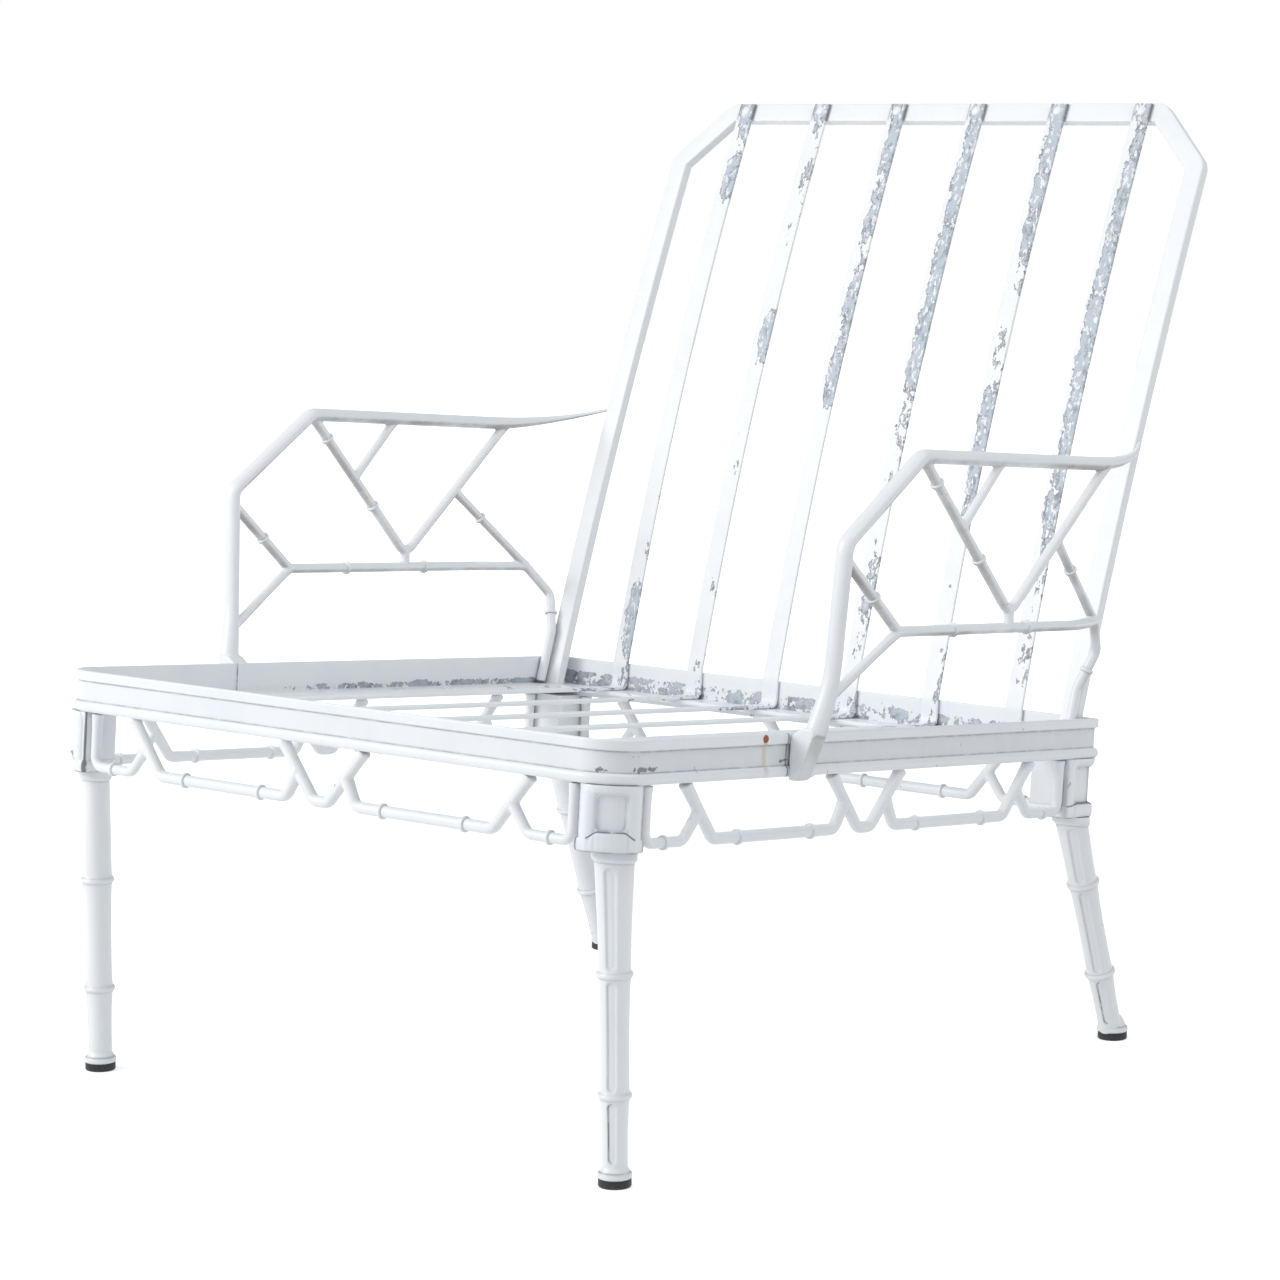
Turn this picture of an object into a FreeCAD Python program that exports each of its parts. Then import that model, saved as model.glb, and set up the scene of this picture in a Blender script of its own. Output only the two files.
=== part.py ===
import FreeCAD, Part
import math
import os
from FreeCAD import Placement, Rotation, Vector
from types import SimpleNamespace

os.makedirs("parts", exist_ok=True)

# Outdoor lounge chair of painted cast aluminium, in millimetres.
# X runs to the right for someone facing the chair, Y runs backwards and Z up.
# The seat frame leans back, so its pieces are drawn level in seat coordinates
# (x, v backwards along the rails, w up from the rails' top) and then tilted.

# Seat rails
frame_width = 687.0
frame_depth = 697.0
frame_tilt = 4.9
front_rail_top = 381.0
rail_height = 38.0
rail_wall = 5.0
rail_base = 15.0
rail_edge_round = 2.0
rail_top_band = 8.5
rail_panel_depth = 1.6
rail_bead_height = 10.0
front_corner_radius = 42.0
ledge_reach = 41.0
ledge_thickness = 4.0
ledge_drop = 27.5
seam_distance = 226.0
seam_gap = 0.4

# Corner blocks
block_height = 56.0
block_inset = 2.0
front_block_size = 45.0
front_block_radius = 38.0
rear_block_size = 42.0
block_band_height = 14.0
block_band_proud = 1.6
block_band_round = 4.0
panel_width = 26.0
panel_height = 35.0
panel_corner = 6.0
panel_recess = 2.6
block_rod_radius = 5.0
block_rod_proud = 1.4
block_rod_clear = 0.5

# Legs and glides
front_leg_side_inset = 23.5
front_leg_setback = 31.5
rear_leg_side_inset = 16.5
rear_leg_setback = 13.5
leg_rake = 18.5
leg_radius_high = 13.6
leg_radius_middle = 12.6
leg_radius_low = 11.4
leg_waist = 0.7
leg_oval_length = 36.0
leg_oval_width = 26.5
leg_collar_height = 9.0
leg_collar_proud = 2.2
leg_collar_round = 1.2
front_ring_high = 181.0
front_ring_low = 78.0
rear_ring_high = 170.0
rear_ring_low = 73.0
leg_ring_height = 5.5
leg_ring_proud = 1.8
foot_radius = 14.6
foot_height = 10.0
foot_lip = 0.6
glide_radius = 14.2
glide_height = 7.5
glide_stem_radius = 4.0
glide_stem_length = 9.0
glide_stem_clearance = 0.1

# Fretwork aprons
apron_depth = 55.0
apron_rod_radius = 5.4
apron_branch_radius = 4.8
apron_inset = 8.0
apron_bend = 9.0
apron_end_gap = 0.2
apron_outer_distance = 49.5
apron_inner_distance = 50.0
apron_valley_half = 9.0
apron_bar_end = 43.0
apron_slope = 0.8
apron_long_rings = (0.2, 0.8)
apron_corner_ring = 0.5

# Arms
arm_standoff = 34.0
arm_section_width = 17.0
arm_section_height = 13.0
arm_tip_width = 10.0
arm_tip_height = 7.0
arm_rod_radius = 4.9
arm_branch_radius = 4.4
arm_bend = 12.0
arm_foot_setback = 0.8
arm_foot_length = 19.5
arm_foot_rise = 6.0
arm_foot_top_proud = 28.0
arm_foot_bottom_proud = 9.5
arm_foot_drop = 3.0
arm_post_lean = 22.0
arm_ankle_level = 24.0
arm_ankle_inward = 6.5
arm_ankle_forward = 10.0
arm_strut_share = 0.65
arm_bend_level = 144.0
arm_corner_reach = 108.0
arm_corner_level = 212.0
arm_sweep_setback = 75.0
arm_sweep_level = 189.0
arm_rise_run = 30.0
arm_tip_run = 301.0
arm_brace_level = 131.0
arm_bar_reach = 75.0
arm_bar_level = 61.0
arm_bar_fall = 20.0
arm_bar_setback = 97.0
arm_fork_setback = 36.0
arm_fork_inward = 18.5
arm_fork_drop = 4.0
arm_elbow_run = 93.0
arm_shin_run = 55.0
arm_valley_share = 0.516
arm_valley_lift = 13.0
arm_branch_share = 0.45
arm_branch_top_share = 0.473
arm_fork_share = 0.48
arm_heel_inset = 17.0
arm_stile_clear = 1.2
arm_slope_rings = (0.17, 0.65)
arm_brace_rings = (0.53,)
arm_bar_rings = (0.3, 0.72)
arm_rise_rings = (0.36,)

# Bamboo node rings on the fretwork
ring_length = 4.0
ring_proud = 1.2

# Largest share of a straight run that one bend may use
bend_share = 0.45

# Overhang of the cutters past the pieces they trim
cut_margin = 1.0

# Back frame and slats
back_lean_low = 18.5
back_lean_high = 24.5
back_length = 648.0
back_bar_width = 20.0
back_bar_depth = 11.0
back_side_gap = 3.5
back_setback = 32.0
back_chamfer = 62.0
slat_count = 6
slat_pitch = 100.0
slat_width = 20.0
slat_thickness = 3.0
slat_bend_radius = 7.0
slat_front_clear = 2.0
slat_top_clear = 2.0
slat_lean = 15.5
slat_knee_run = 24.0
slat_rail_gap = 0.3
slat_frame_gap = 0.2
rivet_head_radius = 5.0
rivet_head_height = 2.4

half_width = frame_width / 2
rail_bottom = -rail_height
block_bottom = rail_bottom - block_height
ledge_top = -ledge_drop
up = Vector(0, 0, 1)
right = Vector(1, 0, 0)
seat_placement = Placement(Vector(0, 0, front_rail_top), Rotation(right, -frame_tilt))


def seat_point(x, v, w):
    """Point of the tilted seat frame in chair coordinates."""
    return seat_placement.multVec(Vector(x, v, w))


def tilted(shape):
    """Move a shape drawn in seat coordinates into the chair."""
    return shape.transformed(seat_placement.toMatrix(), copy=True)


def mirrored(shape):
    """The same piece on the other side of the chair."""
    return shape.mirror(Vector(0, 0, 0), right)


def prism(points, height, base):
    """Upright prism over a plan polygon of (x, v) points."""
    corners = [Vector(x, v, base) for x, v in points]
    return Part.Face(Part.makePolygon(corners + corners[:1])).extrude(up * height)


def fused(shapes):
    """One solid from overlapping shapes, without the seams between them."""
    return shapes[0].multiFuse(shapes[1:]).removeSplitter()


def toward(start, end):
    """Unit direction from one point to another."""
    return (end - start).normalize()


def between(start, end, share):
    """Point at a share of the way from start to end."""
    return start + (end - start) * share


def rounded_path(points, bend):
    """Straight runs through the points, joined by tangent arcs."""
    edges = []
    start = points[0]
    for before, corner, after in zip(points, points[1:], points[2:]):
        back = toward(corner, before)
        ahead = toward(corner, after)
        half_angle = back.getAngle(ahead) / 2
        room = bend_share * min((before - corner).Length, (after - corner).Length)
        reach = min(bend / math.tan(half_angle), room)
        radius = reach * math.tan(half_angle)
        middle = corner + (back + ahead).normalize() * (radius / math.sin(half_angle) - radius)
        entry = corner + back * reach
        leave = corner + ahead * reach
        edges.append(Part.LineSegment(start, entry).toShape())
        edges.append(Part.Arc(entry, middle, leave).toShape())
        start = leave
    edges.append(Part.LineSegment(start, points[-1]).toShape())
    return Part.Wire(edges)


def tangent_arc(start, along, end):
    """Arc that leaves the start in a given direction and passes through the end."""
    half_chord = (end - start) * 0.5
    straight = toward(start, end)
    share = along.dot(straight)
    bulge = (along - straight * share).normalize()
    rise = half_chord.Length * math.tan(math.acos(share) / 2)
    return Part.Arc(start, start + half_chord + bulge * rise, end).toShape()


def rod(points, radius, bend):
    """Round bar along a path with rounded corners."""
    section = Part.Wire(Part.makeCircle(radius, points[0], toward(points[0], points[1])))
    return rounded_path(points, bend).makePipeShell([section], True, False)


def revolved(edges):
    """Solid of revolution about the Z axis from the edges of half its section."""
    face = Part.Face(Part.Wire([edge.toShape() for edge in edges]))
    return face.revolve(Vector(0, 0, 0), up, 360)


def node_ring(start, end, share, radius):
    """Rounded bamboo node ring round a straight bar, at a share of its length."""
    half = ring_length / 2
    low = Vector(radius, 0, -half)
    high = Vector(radius, 0, half)
    ring = revolved([
        Part.LineSegment(Vector(0, 0, -half), low),
        Part.Arc(low, Vector(radius + ring_proud, 0, 0), high),
        Part.LineSegment(high, Vector(0, 0, half)),
        Part.LineSegment(Vector(0, 0, half), Vector(0, 0, -half)),
    ])
    place = Placement(between(start, end, share), Rotation(up, toward(start, end)))
    return ring.transformed(place.toMatrix(), copy=True)


def rail_section(origin, outward):
    """Moulded rail section at its outer top edge: band, panel and bead on a thin wall over a base."""

    def at(depth, w):
        return origin - outward * depth + up * w

    bead_top = rail_bottom + rail_bead_height
    corner = rail_edge_round * (1 - math.sqrt(0.5))
    edges = [
        Part.LineSegment(at(rail_wall, 0), at(rail_edge_round, 0)),
        Part.Arc(at(rail_edge_round, 0), at(corner, -corner), at(0, -rail_edge_round)),
        Part.LineSegment(at(0, -rail_edge_round), at(0, -rail_top_band)),
        Part.LineSegment(at(0, -rail_top_band), at(rail_panel_depth, -rail_top_band)),
        Part.LineSegment(at(rail_panel_depth, -rail_top_band), at(rail_panel_depth, bead_top)),
        Part.Arc(at(rail_panel_depth, bead_top), at(0, (bead_top + rail_bottom) / 2),
                 at(rail_panel_depth, rail_bottom)),
        Part.LineSegment(at(rail_panel_depth, rail_bottom), at(rail_base, rail_bottom)),
        Part.LineSegment(at(rail_base, rail_bottom), at(rail_base, ledge_top)),
        Part.LineSegment(at(rail_base, ledge_top), at(rail_wall, ledge_top)),
        Part.LineSegment(at(rail_wall, ledge_top), at(rail_wall, 0)),
    ]
    return Part.Face(Part.Wire([edge.toShape() for edge in edges]))


def ledge_ring():
    """Flat ledge round the inside of the rails that carries the slats."""
    outer = rail_base / 2
    inner = ledge_reach
    plan = prism([(-half_width + outer, outer), (half_width - outer, outer),
                  (half_width - outer, frame_depth - outer),
                  (-half_width + outer, frame_depth - outer)],
                 ledge_thickness, ledge_top - ledge_thickness)
    front_edges = [edge for edge in plan.Edges
                   if abs(edge.BoundBox.ZLength - ledge_thickness) < 0.01 and edge.BoundBox.YMax < outer + cut_margin]
    plan = plan.makeFillet(front_corner_radius - outer, front_edges)
    opening = prism([(-half_width + inner, inner), (half_width - inner, inner),
                     (half_width - inner, frame_depth - inner),
                     (-half_width + inner, frame_depth - inner)],
                    rail_height, rail_bottom)
    return plan.cut(opening)


def rail_region(points):
    """Cutter that keeps one rail's share of the frame."""
    return prism(points, 3 * rail_height, -2 * rail_height)


def make_front_rail(ledge):
    """Front rail bent round both corners and ending at the seams by the arms' feet."""
    end = seam_distance - seam_gap / 2
    radius = front_corner_radius
    side = rail_section(Vector(half_width, radius, 0), right)
    centre = Vector(half_width - radius, radius, 0)
    side_return = side.extrude(Vector(0, end - radius, 0))
    corner = side.revolve(centre, up, -90)
    front = rail_section(Vector(half_width - radius, 0, 0), Vector(0, -1, 0))
    straight = front.extrude(Vector(2 * radius - frame_width, 0, 0))
    front_ledge = ledge.common(rail_region([(-frame_width, 0), (frame_width, 0),
                                            (frame_width, end), (-frame_width, end)]))
    return tilted(fused([straight, corner, side_return, mirrored(corner), mirrored(side_return),
                         front_ledge]))


def make_right_side_rail(ledge):
    """Straight rail from the seam to the mitred rear corner."""
    start = seam_distance + seam_gap / 2
    reach = ledge_reach + cut_margin
    side = half_width + cut_margin
    rear = frame_depth + cut_margin
    bar = rail_section(Vector(half_width, start, 0), right).extrude(Vector(0, rear - start, 0))
    share = rail_region([(side, start), (side, rear), (half_width - reach, frame_depth - reach),
                         (half_width - reach, start)])
    return tilted(fused([bar.common(share), ledge.common(share)]))


def make_rear_rail(ledge):
    """Straight rear rail, mitred at both ends."""
    reach = ledge_reach + cut_margin
    side = half_width + cut_margin
    rear = frame_depth + cut_margin
    section = rail_section(Vector(side, frame_depth, 0), Vector(0, 1, 0))
    bar = section.extrude(Vector(-2 * side, 0, 0))
    share = rail_region([(side, rear), (-side, rear), (-half_width + reach, frame_depth - reach),
                         (half_width - reach, frame_depth - reach)])
    return tilted(fused([bar.common(share), ledge.common(share)]))


def rounded_panel(centre, facing, width, height, corner, depth):
    """Prism of a rounded rectangle that stands upright and faces outwards."""
    across = up.cross(facing)
    half = width / 2 - corner
    tall = height / 2 - corner
    slant = corner * math.sqrt(0.5)
    edges = []
    for side, level in ((1, 1), (-1, 1), (-1, -1), (1, -1)):
        hub = centre + across * (side * half) + up * (level * tall)
        flat = hub + across * (side * corner)
        top = hub + up * (level * corner)
        middle = hub + across * (side * slant) + up * (level * slant)
        ends = (flat, top) if side * level > 0 else (top, flat)
        edges.append(Part.Arc(ends[0], middle, ends[1]).toShape())
    links = []
    for first, second in zip(edges, edges[1:] + edges[:1]):
        links.append(Part.LineSegment(first.lastVertex().Point, second.firstVertex().Point).toShape())
    wire = Part.Wire([edge for pair in zip(edges, links) for edge in pair])
    return Part.Face(wire).extrude(facing * depth)


def front_block_plan(inset, base, height):
    """Plan of the front block: a square with its outer corner rounded about the rail's corner."""
    size = front_block_size + block_inset - inset
    radius = front_block_radius + block_inset - inset
    outer = half_width - inset
    slant = radius * (1 - math.sqrt(0.5))
    edges = [
        Part.LineSegment(Vector(outer - size, inset, base), Vector(outer - radius, inset, base)),
        Part.Arc(Vector(outer - radius, inset, base), Vector(outer - slant, inset + slant, base),
                 Vector(outer, inset + radius, base)),
        Part.LineSegment(Vector(outer, inset + radius, base), Vector(outer, inset + size, base)),
        Part.LineSegment(Vector(outer, inset + size, base), Vector(outer - size, inset + size, base)),
        Part.LineSegment(Vector(outer - size, inset + size, base), Vector(outer - size, inset, base)),
    ]
    return Part.Face(Part.Wire([edge.toShape() for edge in edges])).extrude(up * height)


def rear_block_plan(inset, base, height):
    """Plan of the rear block: a square flush with the rear corner."""
    outer = half_width - inset
    back = frame_depth - inset
    size = rear_block_size + block_inset - inset
    return prism([(outer - size, back - size), (outer, back - size), (outer, back), (outer - size, back)],
                 height, base)


def rounded_band(plan):
    """Half-round bamboo band at a block's foot."""
    band = plan(block_inset - block_band_proud, block_bottom, block_band_height)
    level = [edge for edge in band.Edges if edge.BoundBox.ZLength < 0.01]
    return band.makeFillet(block_band_round, level)


def panel_level():
    """Height of a panel's centre between the rail and the band."""
    return (rail_bottom + block_bottom + block_band_height) / 2


def block_rod(x, v):
    """Upright half-round rod beside a panel."""
    height = block_height - block_band_height / 2
    return Part.makeCylinder(block_rod_radius, height, Vector(x, v, rail_bottom - height))


def make_front_block():
    """Right front block: a recessed curved panel between two rods, over a rounded band."""
    body = front_block_plan(block_inset, block_bottom, block_height)
    centre = Vector(half_width - block_inset - front_block_radius, block_inset + front_block_radius, 0)
    facing = Vector(1, -1, 0).normalize()
    middle = centre + up * panel_level()
    cutter = rounded_panel(middle, facing, panel_width, panel_height, panel_corner, 2 * front_block_radius)
    floor = Part.makeCylinder(front_block_radius - panel_recess, 2 * block_height,
                              centre + up * (block_bottom - block_height / 2))
    body = body.cut(cutter.cut(floor))
    reach = front_block_radius - block_rod_radius + block_rod_proud
    swing = math.asin((panel_width / 2 + block_rod_radius + block_rod_clear) / reach)
    rods = []
    for angle in (-math.pi / 4 - swing, -math.pi / 4 + swing):
        rods.append(block_rod(centre.x + reach * math.cos(angle), centre.y + reach * math.sin(angle)))
    return tilted(fused([body, rounded_band(front_block_plan)] + rods))


def make_rear_block():
    """Right rear block: square, with a recessed panel and rods on its side and rear faces."""
    body = rear_block_plan(block_inset, block_bottom, block_height)
    outer = half_width - block_inset
    back = frame_depth - block_inset
    half = rear_block_size / 2
    level = up * panel_level()
    side_centre = Vector(outer - panel_recess, back - half, 0) + level
    rear_centre = Vector(outer - half, back - panel_recess, 0) + level
    width = rear_block_size - 4 * block_rod_radius
    for centre, facing in ((side_centre, right), (rear_centre, Vector(0, 1, 0))):
        body = body.cut(rounded_panel(centre, facing, width, panel_height, panel_corner, 2 * panel_recess))
    sunk = block_rod_radius - block_rod_proud
    near = back - rear_block_size + block_rod_radius
    inside = outer - rear_block_size + block_rod_radius
    rods = [block_rod(outer - sunk, near), block_rod(inside, back - sunk),
            block_rod(outer - sunk, back - sunk)]
    return tilted(fused([body, rounded_band(rear_block_plan)] + rods))


def oval(centre, long_way, short_way, length, width):
    """Oval wire about a centre, with its long and short ways along two directions."""
    ellipse = Part.Ellipse(centre + long_way * (length / 2), centre + short_way * (width / 2), centre)
    return Part.Wire(ellipse.toShape())


def leg_shaft(length, ring_low, ring_high):
    """Bamboo shaft on the Z axis from the glide's top: revolved joints under a top oval along X."""

    def at(radius, z):
        return Vector(radius, 0, z)

    half_ring = leg_ring_height / 2
    radius = leg_radius_low
    level = glide_height
    edges = [Part.LineSegment(at(0, level), at(radius, level))]
    for ring, next_radius in ((ring_low, leg_radius_middle), (ring_high, leg_radius_high)):
        below = at(next_radius, ring - half_ring)
        above = at(next_radius, ring + half_ring)
        waist = at((radius + next_radius) / 2 - leg_waist, (level + ring) / 2)
        edges.append(Part.Arc(at(radius, level), waist, below))
        edges.append(Part.Arc(below, at(next_radius + leg_ring_proud, ring), above))
        radius = next_radius
        level = ring + half_ring
    edges.append(Part.LineSegment(at(radius, level), at(0, level)))
    edges.append(Part.LineSegment(at(0, level), at(0, glide_height)))
    neck = Part.Wire(Part.makeCircle(radius, at(0, level)))
    crown = oval(at(0, length), right, up.cross(right), leg_oval_length, leg_oval_width)
    return revolved(edges).fuse(Part.makeLoft([neck, crown], True))


def make_foot():
    """Flared foot on the Z axis, level on its glide, with a cone that runs into the shaft."""
    low = glide_height
    high = glide_height + 1.5 * foot_height
    rim = Vector(foot_radius, 0, low)
    lip = Vector(foot_radius - foot_lip, 0, low + foot_height / 2)
    bulge = Vector(foot_radius + foot_lip / 2, 0, low + foot_height / 4)
    neck = Vector(2 * leg_radius_low - lip.x, 0, high)
    return revolved([
        Part.LineSegment(Vector(0, 0, low), rim),
        Part.Arc(rim, bulge, lip),
        Part.LineSegment(lip, neck),
        Part.LineSegment(neck, Vector(0, 0, high)),
        Part.LineSegment(Vector(0, 0, high), Vector(0, 0, low)),
    ])


def leg_head(side_inset, distance):
    """Point of a leg's axis in the plane of the block's underside."""
    return seat_point(half_width - side_inset, distance, block_bottom)


def leg_foot(head, rake):
    """Point where a leg's axis meets the floor."""
    return Vector(head.x, head.y + head.z * math.tan(math.radians(rake)), 0)


def make_leg(head, rake, ring_low, ring_high, long_way):
    """Leg from the block's underside to its glide, with a collar at the top and a stem socket."""
    foot = leg_foot(head, rake)
    lean = Rotation(right, rake)
    shaft = leg_shaft((head - foot).Length + leg_oval_length, ring_low, ring_high)
    turn = Rotation(right, long_way)
    shaft = shaft.transformed(Placement(foot, lean.multiply(turn)).toMatrix(), copy=True)
    to_seat = seat_placement.inverse()
    axis = to_seat.Rotation.multVec(lean.multVec(up))
    collar = oval(to_seat.multVec(head), long_way, up.cross(long_way),
                  leg_oval_length + 2 * leg_collar_proud, leg_oval_width / axis.z + 2 * leg_collar_proud)
    collar = Part.Face(collar).extrude(axis * (-leg_collar_height / axis.z))
    rims = [edge for edge in collar.Edges if edge.BoundBox.ZMax < block_bottom - leg_collar_height / 2]
    collar = tilted(collar.makeFillet(leg_collar_round, rims))
    reach = 2 * frame_width
    above = tilted(Part.makeBox(reach, reach, reach, Vector(-reach / 2, -reach / 4, block_bottom)))
    below = Part.makeBox(reach, reach, reach, Vector(-reach / 2, -reach / 4, glide_height - reach))
    socket = Part.makeCylinder(glide_stem_radius + glide_stem_clearance,
                               glide_stem_length + 2 * glide_stem_clearance,
                               Vector(foot.x, foot.y, glide_height))
    body = fused([shaft, make_foot().translated(foot), collar])
    return body.cut(above).cut(below).cut(socket)


def make_glide(foot):
    """Round glide with a stem that plugs into the leg's foot."""
    edge = glide_height / 4
    disc = Part.makeCylinder(glide_radius, glide_height)
    disc = disc.makeFillet(edge, [ring for ring in disc.Edges if ring.BoundBox.ZMax < 0.01])
    stem = Part.makeCylinder(glide_stem_radius, glide_stem_length, Vector(0, 0, glide_height))
    return fused([disc, stem]).translated(foot)


def make_apron(half_length):
    """Fretwork apron in the XZ plane, centred on X = 0 and trimmed under the rail."""
    top = rail_bottom + apron_rod_radius
    bar = rail_bottom - apron_depth + apron_rod_radius
    middle = (top + bar) / 2
    run = apron_slope * (top - bar)
    end = half_length - apron_end_gap - apron_rod_radius
    outer = end - apron_outer_distance
    inner = apron_inner_distance
    valley = apron_valley_half

    def at(s, w):
        return Vector(s, 0, w)

    valley_line = [at(-inner, top), at(-valley, bar), at(valley, bar), at(inner, top)]
    solids = [rod(valley_line, apron_rod_radius, apron_bend)]
    for side in (-1, 1):
        corner_bar = [at(side * end, top), at(side * end, bar), at(side * outer, bar),
                      at(side * (outer - run / 2), middle)]
        long_bar = [at(side * outer, top), at(side * (outer - run), bar), at(side * apron_bar_end, bar),
                    at(side * (inner + valley) / 2, middle)]
        solids.append(rod(corner_bar, apron_branch_radius, apron_bend))
        solids.append(rod(long_bar, apron_rod_radius, apron_bend))
        for share in apron_long_rings:
            solids.append(node_ring(long_bar[1], long_bar[2], share, apron_rod_radius))
        solids.append(node_ring(corner_bar[1], corner_bar[2], apron_corner_ring, apron_branch_radius))
    trim = Part.makeBox(4 * half_length, 4 * apron_rod_radius, rail_height,
                        Vector(-2 * half_length, -2 * apron_rod_radius, rail_bottom))
    return fused(solids).cut(trim)


def back_radius():
    """Radius of the back's gentle curve."""
    return back_length / math.radians(back_lean_high - back_lean_low)


def back_point(distance, forward):
    """Point on the back frame's curve at a distance up it, standing forward of its front face."""
    radius = back_radius()
    low = math.radians(back_lean_low)
    lean = low + distance / radius
    foot = back_foot()
    y = foot.y + radius * (math.cos(low) - math.cos(lean)) - forward * math.cos(lean)
    z = foot.z + radius * (math.sin(lean) - math.sin(low)) + forward * math.sin(lean)
    return Vector(0, y, z)


def back_foot():
    """Lower end of the back frame's front face, where it stands on the ledge."""
    return seat_point(0, frame_depth - back_setback, ledge_top)


def back_outer():
    """Half width over the outside of the back frame."""
    return half_width - rail_wall - back_side_gap


def make_back_frame():
    """Arched back frame: one bar with chamfered upper corners, gently curved and leaning back."""
    outer = back_outer()
    top = back_point(back_length, 0).z + back_bar_depth
    low = back_foot().z - 2 * back_bar_depth

    def arch(inset):
        side = outer - inset
        height = back_point(back_length, 0).z - inset
        shoulder = back_chamfer - inset * (2 - math.sqrt(2))
        return [Vector(-side, 0, low), Vector(-side, 0, height - shoulder),
                Vector(-side + shoulder, 0, height), Vector(side - shoulder, 0, height),
                Vector(side, 0, height - shoulder), Vector(side, 0, low)]

    outline = arch(0) + arch(back_bar_width)[::-1]
    run = Vector(0, frame_depth, 0)
    face = Part.Face(Part.makePolygon(outline + outline[:1])).translated(Vector(0, frame_depth / 2, 0))
    reach = back_length + (top - back_point(back_length, 0).z)
    start = -3 * back_bar_depth
    front = [back_point(s, 0) for s in (start, reach / 2, reach)]
    rear = [back_point(s, -back_bar_depth) for s in (start, reach / 2, reach)]
    edges = [Part.Arc(*front), Part.LineSegment(front[2], rear[2]), Part.Arc(*rear[::-1]),
             Part.LineSegment(rear[0], front[0])]
    slab = Part.Face(Part.Wire([edge.toShape() for edge in edges]))
    slab = slab.translated(Vector(-frame_width, 0, 0)).extrude(Vector(2 * frame_width, 0, 0))
    floor = tilted(Part.makeBox(2 * frame_width, 2 * frame_depth, rail_height,
                                Vector(-frame_width, 0, ledge_top - rail_height)))
    return face.extrude(run).common(slab).cut(floor)


def slat_path():
    """Centre line of a slat: along the ledges, up the rear rail's inner face and up the curved back."""
    half = slat_thickness / 2
    foot = frame_depth - rail_wall - half - slat_rail_gap
    start = seat_point(0, rail_wall + slat_front_clear, ledge_top + half)
    heel = seat_point(0, foot, ledge_top + half)
    knee = seat_point(0, foot, 0)
    lean = math.radians(slat_lean)
    along = Vector(0, math.sin(lean), math.cos(lean))
    shin = knee + along * slat_knee_run
    top = back_point(back_length - slat_top_clear, half + slat_frame_gap)
    lower = rounded_path([start, heel, knee, shin], slat_bend_radius)
    return Part.Wire(lower.Edges + [tangent_arc(shin, along, top)])


def make_slat():
    """Flat slat bent from seat to back, centred on X = 0."""
    path = slat_path()
    start = path.Edges[0].firstVertex().Point
    across = right * (slat_width / 2)
    rise = (seat_point(0, 0, 1) - seat_point(0, 0, 0)) * (slat_thickness / 2)
    corners = [start - across - rise, start + across - rise, start + across + rise, start - across + rise]
    return path.makePipeShell([Part.makePolygon(corners + corners[:1])], True, False)


def slat_places():
    """Middle lines of the slats across the chair."""
    return [(index - (slat_count - 1) / 2) * slat_pitch for index in range(slat_count)]


def rivet_head(point, facing):
    """Domed rivet head that sits on a slat."""
    ball = (rivet_head_radius ** 2 + rivet_head_height ** 2) / (2 * rivet_head_height)
    half_angle = math.asin(rivet_head_radius / ball) / 2
    rim = Vector(rivet_head_radius, 0, 0)
    crown = Vector(0, 0, rivet_head_height)
    middle = Vector(ball * math.sin(half_angle), 0, rivet_head_height - ball * (1 - math.cos(half_angle)))
    dome = revolved([
        Part.LineSegment(Vector(0, 0, 0), rim),
        Part.Arc(rim, middle, crown),
        Part.LineSegment(crown, Vector(0, 0, 0)),
    ])
    return dome.transformed(Placement(point, Rotation(up, facing)).toMatrix(), copy=True)


def make_back_rivets():
    """Rivets through the slats' upper ends into the top of the back frame."""
    level = back_length - back_bar_width / 2
    seat = back_point(level, slat_thickness + slat_frame_gap)
    facing = toward(back_point(level, 0), back_point(level, 1))
    return Part.makeCompound([rivet_head(seat + right * x, facing) for x in slat_places()])


def make_seat_rivets():
    """Rivets that hold the slats down on the front ledge."""
    facing = seat_point(0, 0, 1) - seat_point(0, 0, 0)
    distance = rail_base + rivet_head_radius
    heads = []
    for x in slat_places():
        heads.append(rivet_head(seat_point(x, distance, ledge_top + slat_thickness), facing))
    return Part.makeCompound(heads)


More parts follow.
